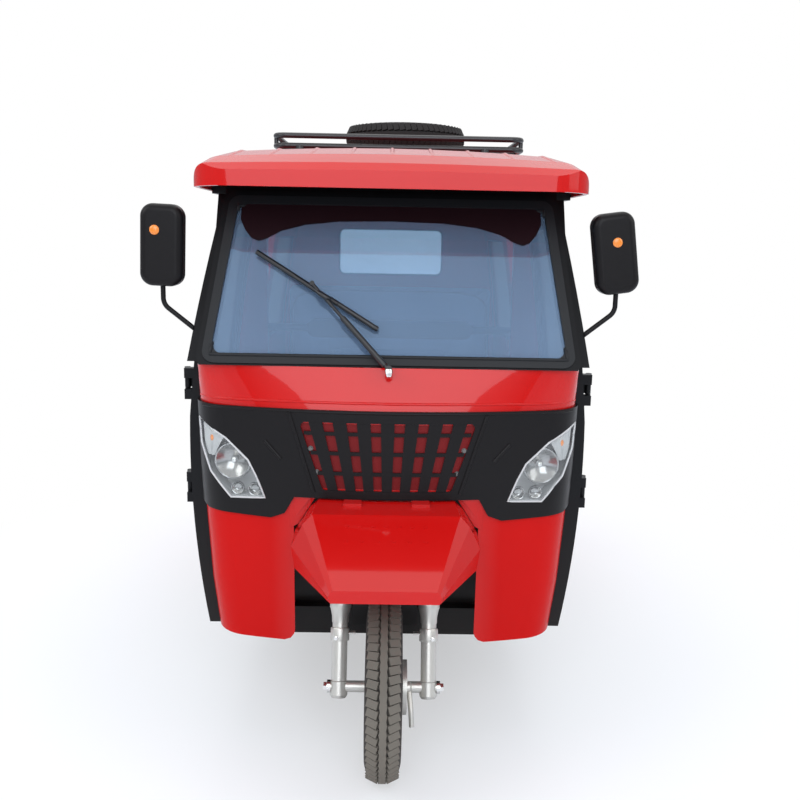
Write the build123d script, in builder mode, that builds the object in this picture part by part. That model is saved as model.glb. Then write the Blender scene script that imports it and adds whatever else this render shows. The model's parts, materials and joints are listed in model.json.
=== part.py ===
"""Closed-cab passenger tricycle: one steered front wheel, two driven rear wheels.

Millimetres. X is across (photo right), the nose points to -Y, Z is up.
The origin is on the ground, at the middle of the bounding box.
"""
import os
from math import cos, radians, sin, sqrt, tan

from build123d import *

os.makedirs("parts", exist_ok=True)

# Layout along the vehicle
WHEELBASE = 1980.0
FRONT_OVERHANG = 290.0
REAR_OVERHANG = 590.0
LENGTH = FRONT_OVERHANG + WHEELBASE + REAR_OVERHANG
NOSE_Y = -LENGTH / 2
TAIL_Y = LENGTH / 2
FRONT_AXLE_Y = NOSE_Y + FRONT_OVERHANG
REAR_AXLE_Y = FRONT_AXLE_Y + WHEELBASE

# Fits
SEAT_GAP = 0.3
RUNNING_FIT = 0.1
PANEL_GAP = 18.0

# Wheels
TYRE_R = 257.0
TYRE_W = 101.0
BEAD_R = 153.0
BEAD_SHARE = 0.66
RIM_W = 76.0
AXLE_R = 8.0
SPINDLE_R = 20.0
HUB_R = 46.0
REAR_TRACK_HALF = 520.0

# Steering
RAKE = 20.0
FORK_OFFSET = 45.0
LEG_X = 128.0
SLIDER_R = 22.0
STANCHION_R = 17.0
STEM_R = 19.0
HEAD_R = 34.0
LOWER_YOKE_Z = 680.0
UPPER_YOKE_Z = 885.0
STEM_TOP_Z = 1020.0
AXLE_NUT_X = 156.0

# Cab front
PANEL_T = 5.0
FASCIA_T = 8.0
FRONT_REAR_Y = FRONT_AXLE_Y + 260.0
ARCH_HALF = 264.0
ARCH_TOP_Z = 728.0
CHIN_HALF = 215.0
CHIN_Z = 795.0
SKIRT_BOTTOM_Z = 343.0
SKIRT_TOE = 34.0
FASCIA_TOP_Z = 1049.0
COWL_TOP_Z = 1164.0
GRILLE_TOP_Z = 1015.0
GRILLE_BOTTOM_Z = 819.0
GRILLE_TOP_HALF = 249.0
GRILLE_BOTTOM_HALF = 181.0
SLAT_COUNT = 7
SLAT_TOP = 19.0
SLAT_FOOT = 14.0

# Windscreen
SCREEN_BASE_Y = FRONT_AXLE_Y + 120.0
SCREEN_BASE_Z = 1192.0
SCREEN_TOP_Y = FRONT_AXLE_Y + 330.0
SCREEN_TOP_Z = 1610.0
SCREEN_BASE_HALF = 501.0
SCREEN_TOP_HALF = 448.0
SEAL_W = 26.0
FRAME_W = 16.0
FRAME_T = 35.0
GLASS_T = 5.0

# Body sides
SILL_Z = 330.0
SILL_HALF = 545.0
WAIST_Z = 985.0
WAIST_HALF = 592.0
HEAD_Z = 1540.0
HEAD_HALF = 520.0
SIDE_T = 28.0
DOOR_REAR_Y = FRONT_AXLE_Y + 922.0
PILLAR_REAR_Y = FRONT_AXLE_Y + 300.0
HOOP_Y = FRONT_AXLE_Y + 940.0
HOOP_T = 40.0
QUARTER_Y = REAR_AXLE_Y - 420.0
WALL_Y = REAR_AXLE_Y + 500.0
WALL_T = 20.0
ARCH_R = 295.0
DOOR_BOTTOM_Z = 352.0
DOOR_TOP_Z = 1622.0
SIDE_TOP_Z = 1640.0

# Roof
ROOF_EDGE_Z = 1648.0
ROOF_CROWN_Z = 1805.0
ROOF_HALF = 556.0
VISOR_Y = FRONT_AXLE_Y + 120.0
ROOF_T = 14.0
RACK_X = 25.0
RACK_HALF = 494.0
RACK_FRONT_Y = REAR_AXLE_Y - 630.0
RACK_REAR_Y = REAR_AXLE_Y + 23.0
RACK_FLOOR_Z = 1866.0
RACK_RAIL_Z = 1905.0
RACK_TUBE_R = 11.0

# Floor, seats and running gear
FLOOR_Z = 330.0
FLOOR_T = 15.0
BULKHEAD_Y = FRONT_AXLE_Y + 395.0
RAIL_X = 260.0
RAIL_W = 40.0
RAIL_Z = 255.0
RAIL_H = 50.0
KICK_Z = 380.0
DECK_Z = 560.0
BENCH_Y = REAR_AXLE_Y - 340.0
BENCH_BOX_HALF = 500.0
BENCH_HALF = 515.0

BOTH_SIDES = (-1, 1)


def steer_point(z):
    """Point on the steering axis at height z."""
    lead = FORK_OFFSET / cos(radians(RAKE))
    return Vector(0, FRONT_AXLE_Y + lead + tan(radians(RAKE)) * (z - TYRE_R), z)


STEER_UP = Vector(0, sin(radians(RAKE)), cos(radians(RAKE)))


def leg_point(side, z):
    """Point on the centre line of a fork leg at height z."""
    return Vector(side * LEG_X, FRONT_AXLE_Y + tan(radians(RAKE)) * (z - TYRE_R), z)


def block(low, high, mode=Mode.ADD):
    """Box between two corners."""
    middle = [(a + b) / 2 for a, b in zip(low, high)]
    with Locations(tuple(middle)):
        Box(high[0] - low[0], high[1] - low[1], high[2] - low[2], mode=mode)


def rod(start, end, radius, mode=Mode.ADD):
    """Round bar from one point to another."""
    start = Vector(*start)
    end = Vector(*end)
    along = end - start
    with BuildSketch(Plane(origin=start, z_dir=along)) as ring:
        Circle(radius)
    extrude(ring.sketch, amount=along.length, mode=mode)


def bent_tube(points, bend, radius):
    """Tube along straight runs with round bends."""
    with BuildLine(mode=Mode.PRIVATE) as route:
        FilletPolyline(*points, radius=bend)
    start = route.line @ 0
    with BuildSketch(Plane(origin=start, z_dir=route.line % 0)) as ring:
        Circle(radius)
    sweep(ring.sketch, path=route.line)


def tube_loop(points, bend, radius):
    """Closed tube through corner points, with round bends."""
    with BuildLine(mode=Mode.PRIVATE) as route:
        FilletPolyline(*points, radius=bend, close=True)
    start = route.line @ 0
    with BuildSketch(Plane(origin=start, z_dir=route.line % 0)) as ring:
        Circle(radius)
    sweep(ring.sketch, path=route.line)


def outline(plane, points, depth, corner=0.0, shrink=0.0, both=False, mode=Mode.ADD):
    """Prism from a closed outline, with its corners rounded and its edge drawn in."""
    with BuildSketch(plane) as shape:
        with BuildLine():
            Polyline(*points, close=True)
        make_face()
        if corner:
            fillet(shape.vertices(), corner)
        if shrink:
            offset(amount=-shrink, mode=Mode.REPLACE)
    extrude(shape.sketch, amount=depth, both=both, mode=mode)


def keep(piece, label):
    """Label a finished piece and write it."""
    piece.part.label = label
    export_step(piece.part, f"parts/{label}.step")


# Plan sections of the cab front
# Columns: height, half width at the side, nose reach behind the axle, corner radius, nose radius
FRONT_SECTIONS = [
    (330.0, 508.0, 90.0, 120.0, 1700.0),
    (500.0, 528.0, 78.0, 120.0, 1700.0),
    (690.0, 539.0, 66.0, 120.0, 1700.0),
    (870.0, 547.0, 60.0, 120.0, 1700.0),
    (FASCIA_TOP_Z, 551.0, 60.0, 115.0, 1800.0),
    (COWL_TOP_Z, SCREEN_BASE_HALF + SEAL_W + FRAME_W + 4.0, 100.0, 60.0, 6000.0),
]
FRONT_BACK_Y = FRONT_AXLE_Y + 310.0


def front_solid(grow):
    """Solid bounded by the cab front, moved outwards by grow."""
    faces = []
    for z, half, reach, corner, nose_r in FRONT_SECTIONS:
        nose = FRONT_AXLE_Y + reach
        half = half + grow
        corner = corner + grow
        nose_r = nose_r + grow
        lean = (half - corner) / (nose_r - corner)
        flat = sqrt(1 - lean * lean)
        meet_x = half - corner + corner * lean
        side_y = nose - grow + corner * flat + nose_r * (1 - flat)
        meet_y = side_y - corner * flat
        with BuildSketch(Plane.XY.offset(z)) as section:
            with BuildLine():
                Line((half, FRONT_BACK_Y), (half, side_y))
                TangentArc((half, side_y), (meet_x, meet_y), tangent=(0, -1))
                ThreePointArc((meet_x, meet_y), (0, nose - grow), (-meet_x, meet_y))
                TangentArc((-half, side_y), (-meet_x, meet_y), tangent=(0, -1))
                Line((-half, side_y), (-half, FRONT_BACK_Y))
                Line((-half, FRONT_BACK_Y), (half, FRONT_BACK_Y))
            make_face()
        faces.append(section.sketch)
    with BuildPart() as solid:
        loft(faces, ruled=True)
    return solid.part


BOWL_DEPTH = 55.0
LENS_T = 5.0
OUTER_SKIN = front_solid(0.0)
INNER_SKIN = front_solid(-PANEL_T)
SEAT_SKIN = front_solid(SEAT_GAP)
MASK_SKIN = front_solid(FASCIA_T)
SLAT_SKIN = front_solid(FASCIA_T - 1.0)
LENS_SKIN = front_solid(FASCIA_T - LENS_T)
BOWL_SKIN = front_solid(FASCIA_T - LENS_T - SEAT_GAP)
BOWL_BACK = front_solid(-BOWL_DEPTH)
BOWL_WALL = 4.0
BOWL_FLOOR = front_solid(BOWL_WALL - BOWL_DEPTH)

FRONT_PLANE = Plane.XZ.offset(-FRONT_REAR_Y)
FRONT_DEPTH = 330.0
LAMP_OUTLINE = [(545, 1003), (460, 955), (395, 895), (372, 850), (346, 787), (447, 781), (508, 850), (540, 930)]
FASCIA_LOWER = [(575, 760), (520, 736), (330, 729), (290, 745), (262, CHIN_Z)]


def front_prism(points, corner=0.0, shrink=0.0, mode=Mode.ADD):
    """Prism through the cab front from an outline seen from ahead."""
    outline(FRONT_PLANE, points, FRONT_DEPTH, corner, shrink, mode=mode)


def mirrored(points, side):
    return [(side * x, z) for x, z in points]


# Front panel: red steel apron and cowl in one pressing
with BuildPart() as front_panel:
    add(OUTER_SKIN)
    add(INNER_SKIN, mode=Mode.SUBTRACT)
    block((-700, FRONT_REAR_Y, 0), (700, HOOP_Y, 2000), mode=Mode.SUBTRACT)
    front_prism([(-700, 0), (700, 0), (700, SKIRT_BOTTOM_Z), (-700, SKIRT_BOTTOM_Z)], mode=Mode.SUBTRACT)
    arch = [
        (ARCH_HALF, 0),
        (ARCH_HALF, ARCH_TOP_Z),
        (CHIN_HALF, CHIN_Z),
        (-CHIN_HALF, CHIN_Z),
        (-ARCH_HALF, ARCH_TOP_Z),
        (-ARCH_HALF, 0),
    ]
    front_prism(arch, mode=Mode.SUBTRACT)
    for side in BOTH_SIDES:
        bow = [(SKIRT_TOE * 0.4, SKIRT_TOE * 0.2), (SKIRT_TOE * 0.1, SKIRT_TOE * 0.6)]
        toe = [(-1, -1), (SKIRT_TOE, -1), *bow, (-1, SKIRT_TOE)]
        front_prism([(side * (ARCH_HALF + x), SKIRT_BOTTOM_Z + z) for x, z in toe], mode=Mode.SUBTRACT)
        front_prism(mirrored(LAMP_OUTLINE, side), mode=Mode.SUBTRACT)
keep(front_panel, "front_panel")

# Fascia: black plastic mask over the panel, open at the lamps and the grille
grille_hole = [
    (GRILLE_TOP_HALF, GRILLE_TOP_Z),
    (GRILLE_BOTTOM_HALF, GRILLE_BOTTOM_Z),
    (-GRILLE_BOTTOM_HALF, GRILLE_BOTTOM_Z),
    (-GRILLE_TOP_HALF, GRILLE_TOP_Z),
]
fascia_edge = [(575, FASCIA_TOP_Z)] + FASCIA_LOWER
fascia_edge = fascia_edge + mirrored(fascia_edge[::-1], -1)
with BuildPart() as fascia:
    front_prism(fascia_edge)
    add(MASK_SKIN, mode=Mode.INTERSECT)
    add(SEAT_SKIN, mode=Mode.SUBTRACT)
    front_prism(grille_hole, corner=14.0, mode=Mode.SUBTRACT)
    for side in BOTH_SIDES:
        front_prism(mirrored(LAMP_OUTLINE, side), mode=Mode.SUBTRACT)
keep(fascia, "front_fascia")

# Grille: seven tapering slats on three rails, inside the opening of the mask
with BuildPart() as grille:
    height = GRILLE_TOP_Z - GRILLE_BOTTOM_Z
    for step in range(SLAT_COUNT):
        share = (step - (SLAT_COUNT - 1) / 2) / ((SLAT_COUNT + 1) / 2)
        top_x = share * GRILLE_TOP_HALF * 1.08
        low_x = share * GRILLE_BOTTOM_HALF * 1.12
        slat = [
            (top_x - SLAT_TOP, GRILLE_TOP_Z - SEAT_GAP),
            (top_x + SLAT_TOP, GRILLE_TOP_Z - SEAT_GAP),
            (low_x + SLAT_FOOT, GRILLE_BOTTOM_Z + SEAT_GAP),
            (low_x - SLAT_FOOT, GRILLE_BOTTOM_Z + SEAT_GAP),
        ]
        front_prism(slat)
    for rail_z in (GRILLE_TOP_Z - 32, GRILLE_TOP_Z - 88, GRILLE_TOP_Z - 146):
        share = (rail_z - GRILLE_BOTTOM_Z) / height
        reach = GRILLE_BOTTOM_HALF + share * (GRILLE_TOP_HALF - GRILLE_BOTTOM_HALF) - 4
        front_prism([(-reach, rail_z - 5), (reach, rail_z - 5), (reach, rail_z + 5), (-reach, rail_z + 5)])
    add(SLAT_SKIN, mode=Mode.INTERSECT)
    add(SEAT_SKIN, mode=Mode.SUBTRACT)
keep(grille, "grille")

# Headlamps: a hollow bowl behind the mask and a clear cover flush with it
with BuildPart() as bowl_space:
    for side in BOTH_SIDES:
        front_prism(mirrored(LAMP_OUTLINE, side), shrink=BOWL_WALL)
    add(BOWL_FLOOR, mode=Mode.SUBTRACT)
with BuildPart() as bowls:
    for side in BOTH_SIDES:
        front_prism(mirrored(LAMP_OUTLINE, side), shrink=SEAT_GAP)
    add(BOWL_SKIN, mode=Mode.INTERSECT)
    add(BOWL_BACK, mode=Mode.SUBTRACT)
    add(bowl_space.part, mode=Mode.SUBTRACT)
keep(bowls, "headlamp_bowls")
with BuildPart() as lenses:
    for side in BOTH_SIDES:
        front_prism(mirrored(LAMP_OUTLINE, side), shrink=SEAT_GAP)
    add(MASK_SKIN, mode=Mode.INTERSECT)
    add(LENS_SKIN, mode=Mode.SUBTRACT)
keep(lenses, "headlamp_lenses")

# Roof form: rounded lip over the windscreen, flat crown and tail, hollow from below
# Columns: station, half width, edge height, crown height, corner radius, crown radius
LIP_ROWS = [
    (VISOR_Y, 548.0, 1653.0, 1700.0, 38.0, 24000.0),
    (VISOR_Y + 26.0, 550.0, 1652.0, 1722.0, 48.0, 16000.0),
    (VISOR_Y + 120.0, 553.0, 1650.0, 1752.0, 70.0, 9000.0),
    (VISOR_Y + 340.0, 555.0, 1649.0, 1786.0, 95.0, 7000.0),
    (VISOR_Y + 640.0, ROOF_HALF, ROOF_EDGE_Z, ROOF_CROWN_Z, 110.0, 6000.0),
]
TAIL_ROWS = [
    (WALL_Y - 180.0, ROOF_HALF, ROOF_EDGE_Z, ROOF_CROWN_Z, 110.0, 6000.0),
    (WALL_Y + 45.0, 548.0, ROOF_EDGE_Z, 1772.0, 100.0, 6000.0),
]
PLAN_CORNER = 110.0
ROOF_DEEP = 400.0


def roof_section(row, shrink, drop, ahead=0.0):
    """Cross section of the roof: upright sides, round corners and a flat crown."""
    station, half, edge, crown, corner, crown_r = row
    half = half - shrink
    crown = crown - shrink
    corner = corner - shrink
    crown_r = crown_r - shrink
    lean = (half - corner) / (crown_r - corner)
    flat = sqrt(1 - lean * lean)
    side_z = crown - crown_r + (crown_r - corner) * flat
    meet = (half - corner + corner * lean, side_z + corner * flat)
    with BuildSketch(Plane.XZ.offset(-station - ahead)) as section:
        with BuildLine():
            for side in BOTH_SIDES:
                Line((side * half, edge - drop), (side * half, side_z))
                TangentArc((side * half, side_z), (side * meet[0], meet[1]), tangent=(0, 1))
            ThreePointArc((-meet[0], meet[1]), (0, crown), meet)
            Line((-half, edge - drop), (half, edge - drop))
        make_face()
    return section.sketch


def roof_solid(shrink, drop):
    """Whole roof form, drawn in by shrink and with its foot lowered by drop."""
    half = ROOF_HALF - shrink
    front = VISOR_Y + shrink
    back = TAIL_ROWS[-1][0] - shrink
    with BuildPart() as form:
        lip = [roof_section(LIP_ROWS[0], shrink, drop, shrink)]
        loft(lip + [roof_section(row, shrink, drop) for row in LIP_ROWS[1:]], ruled=True)
        extrude(roof_section(LIP_ROWS[-1], shrink, drop), amount=LIP_ROWS[-1][0] - TAIL_ROWS[0][0])
        tail = [roof_section(TAIL_ROWS[1], shrink, drop, -shrink)]
        loft([roof_section(TAIL_ROWS[0], shrink, drop)] + tail, ruled=True)
        plan = [(-half, front), (half, front), (half, back), (-half, back)]
        outline(Plane.XY.offset(SIDE_TOP_Z - 100), plan, ROOF_DEEP, PLAN_CORNER - shrink, mode=Mode.INTERSECT)
    return form.part


ROOF_OUTER = roof_solid(0.0, 0.0)
ROOF_INNER = roof_solid(ROOF_T, 5.0)
ROOF_SEAT = roof_solid(ROOF_T + SEAT_GAP, 40.0)

# Windscreen: flat glass in a rubber seal in a black frame, leaning back
screen_rise = Vector(0, SCREEN_TOP_Y - SCREEN_BASE_Y, SCREEN_TOP_Z - SCREEN_BASE_Z)
SCREEN_LONG = screen_rise.length
SCREEN_UP = screen_rise.normalized()
SCREEN_OUT = Vector(1, 0, 0).cross(SCREEN_UP)
SCREEN_PLANE = Plane(origin=(0, SCREEN_BASE_Y, SCREEN_BASE_Z), x_dir=(1, 0, 0), z_dir=SCREEN_OUT)
SCREEN_CORNER = 36.0


def screen_outline(grow, foot=None):
    """Outline of the glass in its own plane, moved outwards by grow."""
    foot = grow if foot is None else foot
    return [
        (-SCREEN_BASE_HALF - grow, -foot),
        (SCREEN_BASE_HALF + grow, -foot),
        (SCREEN_TOP_HALF + grow, SCREEN_LONG + grow),
        (-SCREEN_TOP_HALF - grow, SCREEN_LONG + grow),
    ]


def on_screen(x, z, lift):
    """Point over the glass at width x and height z, lifted off its face."""
    share = (z - SCREEN_BASE_Z) / (SCREEN_TOP_Z - SCREEN_BASE_Z)
    return Vector(x, SCREEN_BASE_Y, SCREEN_BASE_Z) + screen_rise * share + SCREEN_OUT * lift


FRAME_PLANE = SCREEN_PLANE.offset(-FRAME_T)
HEADER_RISE = 260.0
HEADER_HALF = 492.0
header_low = SCREEN_LONG + SEAL_W + FRAME_W / 2
header_edge = [
    (-HEADER_HALF, header_low),
    (HEADER_HALF, header_low),
    (HEADER_HALF, header_low + HEADER_RISE),
    (-HEADER_HALF, header_low + HEADER_RISE),
]
with BuildPart() as header:
    outline(FRAME_PLANE, header_edge, FRAME_T / 2)
    add(ROOF_SEAT, mode=Mode.INTERSECT)

with BuildPart() as windscreen_frame:
    outline(FRAME_PLANE, screen_outline(SEAL_W + FRAME_W), FRAME_T, SCREEN_CORNER)
    outline(FRAME_PLANE, screen_outline(SEAL_W), FRAME_T, SCREEN_CORNER, mode=Mode.SUBTRACT)
    block((-700, NOSE_Y, 0), (700, HOOP_Y, COWL_TOP_Z + SEAT_GAP), mode=Mode.SUBTRACT)
    add(header.part)
keep(windscreen_frame, "windscreen_frame")

SEAL_BACK = 20.0
SEAL_PROUD = 5.0
with BuildPart() as windscreen_seal:
    seal_plane = SCREEN_PLANE.offset(-SEAL_BACK)
    seal_depth = SEAL_BACK + SEAL_PROUD
    outline(seal_plane, screen_outline(SEAL_W), seal_depth, SCREEN_CORNER, SEAT_GAP)
    outline(seal_plane, screen_outline(0.0), seal_depth, SCREEN_CORNER, mode=Mode.SUBTRACT)
    block((-700, NOSE_Y, 0), (700, HOOP_Y, COWL_TOP_Z + SEAT_GAP), mode=Mode.SUBTRACT)
keep(windscreen_seal, "windscreen_seal")

with BuildPart() as windscreen_glass:
    outline(SCREEN_PLANE.offset(-GLASS_T - 2), screen_outline(0.0), GLASS_T, SCREEN_CORNER, SEAT_GAP)
keep(windscreen_glass, "windscreen_glass")

# Wiper: spindle through the cowl, cranked arm and a long blade parked across the glass
WIPER_FOOT = (0.0, 1150.0)
WIPER_ELBOW = (-221.0, 1376.0)
BLADE_ENDS = ((-385.0, 1468.0), (-34.0, 1262.0))
with BuildPart() as wiper:
    foot = on_screen(*WIPER_FOOT, 30)
    rod(on_screen(*WIPER_FOOT, -12), on_screen(*WIPER_FOOT, 42), 9)
    rod(foot, on_screen(*WIPER_ELBOW, 30), 5)
    rod(on_screen(*WIPER_ELBOW, 6), on_screen(*WIPER_ELBOW, 36), 7)
    rod(on_screen(*BLADE_ENDS[0], 12), on_screen(*BLADE_ENDS[1], 12), 6)
    add(SEAT_SKIN, mode=Mode.SUBTRACT)
keep(wiper, "wiper")


def side_face_points(grow):
    """Half section of the body side: sill, waist and head, moved outwards by grow."""
    return (SILL_HALF + grow, WAIST_HALF + grow, HEAD_HALF + grow)


SILL_BULGE = 17.0
HEAD_BULGE = 6.0


def side_band(side, grow, thick, start, end):
    """Curved body side as a slab of one thickness, from one station to another."""
    with BuildSketch(Plane.XZ.offset(-start)) as section:
        with BuildLine():
            edges = []
            for shift in (grow, grow - thick):
                sill, waist, head = side_face_points(shift)
                edges.append((sill, waist, head))
            for sill, waist, head in edges:
                low_mid = ((sill + waist) / 2 + SILL_BULGE, (SILL_Z + WAIST_Z) / 2)
                high_mid = ((waist + head) / 2 + HEAD_BULGE, (WAIST_Z + HEAD_Z) / 2)
                ThreePointArc((side * sill, SILL_Z), (side * low_mid[0], low_mid[1]), (side * waist, WAIST_Z))
                ThreePointArc((side * waist, WAIST_Z), (side * high_mid[0], high_mid[1]), (side * head, HEAD_Z))
                Line((side * head, HEAD_Z), (side * head, SIDE_TOP_Z))
            Line((side * edges[0][0], SILL_Z), (side * edges[1][0], SILL_Z))
            Line((side * edges[0][2], SIDE_TOP_Z), (side * edges[1][2], SIDE_TOP_Z))
        make_face()
    with BuildPart() as band:
        extrude(section.sketch, amount=start - end)
    return band.part


def side_prism(points, corner=0.0, shrink=0.0, mode=Mode.ADD):
    """Prism right across the body from an outline seen from the side."""
    outline(Plane.YZ, points, SIDE_REACH, corner, shrink, both=True, mode=mode)


SIDE_REACH = WAIST_HALF + 128.0
ARCH_IN = 400.0
HINGE_X = WAIST_HALF + 14.0
HINGE_Y = PILLAR_REAR_Y + PANEL_GAP / 2
HINGE_HEIGHTS = (760.0, 1080.0)
HINGE_PIN_R = 5.0
KNUCKLE_R = 9.0
KNUCKLE_H = 30.0
KNUCKLE_GAP = 2.0
LEAF_X = WAIST_HALF - 44.0
PILLAR_SLOPE = (SCREEN_TOP_Y - SCREEN_BASE_Y) / (SCREEN_TOP_Z - SCREEN_BASE_Z)
PILLAR_KNEE_Z = 1240.0
PILLAR_HEAD_Y = FRONT_AXLE_Y + 440.0
FRAME_BACK = 51.0


def pillar_front(z):
    """Station of the back of the windscreen frame at height z."""
    return SCREEN_BASE_Y + (z - SCREEN_BASE_Z) * PILLAR_SLOPE + FRAME_BACK


PILLAR_EDGE = [
    (FRONT_REAR_Y + SEAT_GAP, SILL_Z),
    (FRONT_REAR_Y + SEAT_GAP, COWL_TOP_Z + 2),
    (pillar_front(COWL_TOP_Z + 2), COWL_TOP_Z + 2),
    (pillar_front(SIDE_TOP_Z), SIDE_TOP_Z),
    (PILLAR_HEAD_Y, SIDE_TOP_Z),
    (PILLAR_HEAD_Y, DOOR_TOP_Z - 12),
    (PILLAR_REAR_Y, PILLAR_KNEE_Z),
    (PILLAR_REAR_Y, SILL_Z),
]
PILLAR_T = 44.0
PILLAR_SPAN = (FRONT_AXLE_Y + 40.0, HOOP_Y - 400.0)
PILLAR_BANDS = {side: side_band(side, 0.0, PILLAR_T, *PILLAR_SPAN) for side in BOTH_SIDES}

for side in BOTH_SIDES:
    word = "left" if side < 0 else "right"
    with BuildPart() as pillar:
        side_prism(PILLAR_EDGE)
        add(PILLAR_BANDS[side], mode=Mode.INTERSECT)
        for z in HINGE_HEIGHTS:
            for low in (z - KNUCKLE_H * 1.5 - KNUCKLE_GAP, z + KNUCKLE_H / 2 + KNUCKLE_GAP):
                rod((side * HINGE_X, HINGE_Y, low), (side * HINGE_X, HINGE_Y, low + KNUCKLE_H), KNUCKLE_R)
                leaf = sorted((side * LEAF_X, side * (HINGE_X + 4)))
                block((leaf[0], PILLAR_REAR_Y - 24, low), (leaf[1], HINGE_Y - 4, low + KNUCKLE_H))
            pin_low = z - KNUCKLE_H * 1.5
            rod((side * HINGE_X, HINGE_Y, pin_low), (side * HINGE_X, HINGE_Y, z + KNUCKLE_H * 1.5), HINGE_PIN_R)
    keep(pillar, f"door_pillar_{word}")

DOOR_FRONT_Y = PILLAR_REAR_Y + PANEL_GAP
DOOR_HEAD_Y = PILLAR_HEAD_Y + PANEL_GAP
DOOR_EDGE = [
    (DOOR_FRONT_Y, DOOR_BOTTOM_Z),
    (DOOR_FRONT_Y, PILLAR_KNEE_Z - 4),
    (DOOR_HEAD_Y, DOOR_TOP_Z),
    (DOOR_REAR_Y, DOOR_TOP_Z),
    (DOOR_REAR_Y, DOOR_BOTTOM_Z),
]
WINDOW_MARGIN = 62.0
WINDOW_SILL_Z = WAIST_Z + 45.0
DOOR_WINDOW = [
    (DOOR_FRONT_Y + WINDOW_MARGIN, WINDOW_SILL_Z),
    (DOOR_FRONT_Y + WINDOW_MARGIN, PILLAR_KNEE_Z - 18),
    (DOOR_HEAD_Y + WINDOW_MARGIN * 0.75, DOOR_TOP_Z - WINDOW_MARGIN),
    (DOOR_REAR_Y - WINDOW_MARGIN, DOOR_TOP_Z - WINDOW_MARGIN),
    (DOOR_REAR_Y - WINDOW_MARGIN, WINDOW_SILL_Z),
]
DOOR_CORNER = 26.0
PANE_T = 5.0
PANE_DEEP = 12.0
for side in BOTH_SIDES:
    word = "left" if side < 0 else "right"
    door_band = side_band(side, 0.0, SIDE_T, FRONT_REAR_Y, HOOP_Y + 100.0)
    pane_band = side_band(side, -PANE_DEEP, PANE_T, FRONT_REAR_Y, HOOP_Y + 100.0)
    with BuildPart() as door:
        side_prism(DOOR_EDGE, DOOR_CORNER)
        add(door_band, mode=Mode.INTERSECT)
        side_prism(DOOR_WINDOW, DOOR_CORNER, mode=Mode.SUBTRACT)
        for z in HINGE_HEIGHTS:
            low = z - KNUCKLE_H / 2
            rod((side * HINGE_X, HINGE_Y, low), (side * HINGE_X, HINGE_Y, low + KNUCKLE_H), KNUCKLE_R)
            leaf = sorted((side * (LEAF_X + 10), side * (HINGE_X + 4)))
            block((leaf[0], HINGE_Y + 4, low), (leaf[1], DOOR_FRONT_Y + 30, low + KNUCKLE_H))
            rod((side * HINGE_X, HINGE_Y, low), (side * HINGE_X, HINGE_Y, low + KNUCKLE_H),
                HINGE_PIN_R + RUNNING_FIT, mode=Mode.SUBTRACT)
    keep(door, f"door_{word}")
    with BuildPart() as pane:
        side_prism(DOOR_WINDOW, DOOR_CORNER, SEAT_GAP)
        add(pane_band, mode=Mode.INTERSECT)
    keep(pane, f"door_window_{word}")

# Hoop between the driver and the passengers: an arch over a low partition
HOOP_HALF = 450.0
HOOP_ARCH_Z = 1570.0
HOOP_WALL_Z = 780.0
HOOP_CORNER = 78.0
HOOP_TOP_HALF = 484.0


def body_section(grow, low, high):
    """Closed cross outline of the body, between two heights, seen from ahead."""
    sill, waist, head = side_face_points(grow)
    with BuildLine(mode=Mode.PRIVATE) as edge:
        for side in BOTH_SIDES:
            low_mid = (side * ((sill + waist) / 2 + SILL_BULGE), (low + WAIST_Z) / 2)
            high_mid = (side * ((waist + head) / 2 + HEAD_BULGE), (WAIST_Z + HEAD_Z) / 2)
            ThreePointArc((side * sill, low), low_mid, (side * waist, WAIST_Z))
            ThreePointArc((side * waist, WAIST_Z), high_mid, (side * head, HEAD_Z))
            Line((side * head, HEAD_Z), (side * head, high))
        Line((-sill, low), (sill, low))
        Line((-head, high), (head, high))
    return edge.line


def cross_wall(station, thick, grow, low, high):
    """Wall right across the body at one station."""
    with BuildSketch(Plane.XZ.offset(-station)) as wall:
        make_face(body_section(grow, low, high).edges())
    extrude(wall.sketch, amount=-thick)


with BuildPart() as hoop_top:
    block((-HOOP_TOP_HALF, HOOP_Y, SIDE_TOP_Z - 10), (HOOP_TOP_HALF, HOOP_Y + HOOP_T, ROOF_CROWN_Z))
    add(ROOF_SEAT, mode=Mode.INTERSECT)
with BuildPart() as b_hoop:
    cross_wall(HOOP_Y, HOOP_T, 0.0, FLOOR_Z + FLOOR_T + SEAT_GAP, SIDE_TOP_Z)
    add(hoop_top.part)
    hole = [
        (-HOOP_HALF, HOOP_WALL_Z),
        (HOOP_HALF, HOOP_WALL_Z),
        (HOOP_HALF, HOOP_ARCH_Z),
        (-HOOP_HALF, HOOP_ARCH_Z),
    ]
    outline(Plane.XZ.offset(-HOOP_Y), hole, -HOOP_T, HOOP_CORNER, mode=Mode.SUBTRACT)
keep(b_hoop, "b_hoop")

# Padded grab bar across the hoop
GRAB_Z = 1180.0
GRAB_R = 14.0
PAD_HALF = 305.0
PAD_H = 68.0
PAD_T = 18.0
PAD_CORNER = 30.0
with BuildPart() as grab_bar:
    grab_y = HOOP_Y + HOOP_T / 2
    reach = HOOP_HALF - SEAT_GAP
    rod((-reach, grab_y, GRAB_Z), (reach, grab_y, GRAB_Z), GRAB_R)
    pad_low = GRAB_Z - PAD_H / 2
    pad = [(-PAD_HALF, pad_low), (PAD_HALF, pad_low), (PAD_HALF, pad_low + PAD_H), (-PAD_HALF, pad_low + PAD_H)]
    outline(Plane.XZ.offset(-grab_y), pad, PAD_T, PAD_CORNER, both=True)
keep(grab_bar, "grab_bar")

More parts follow.
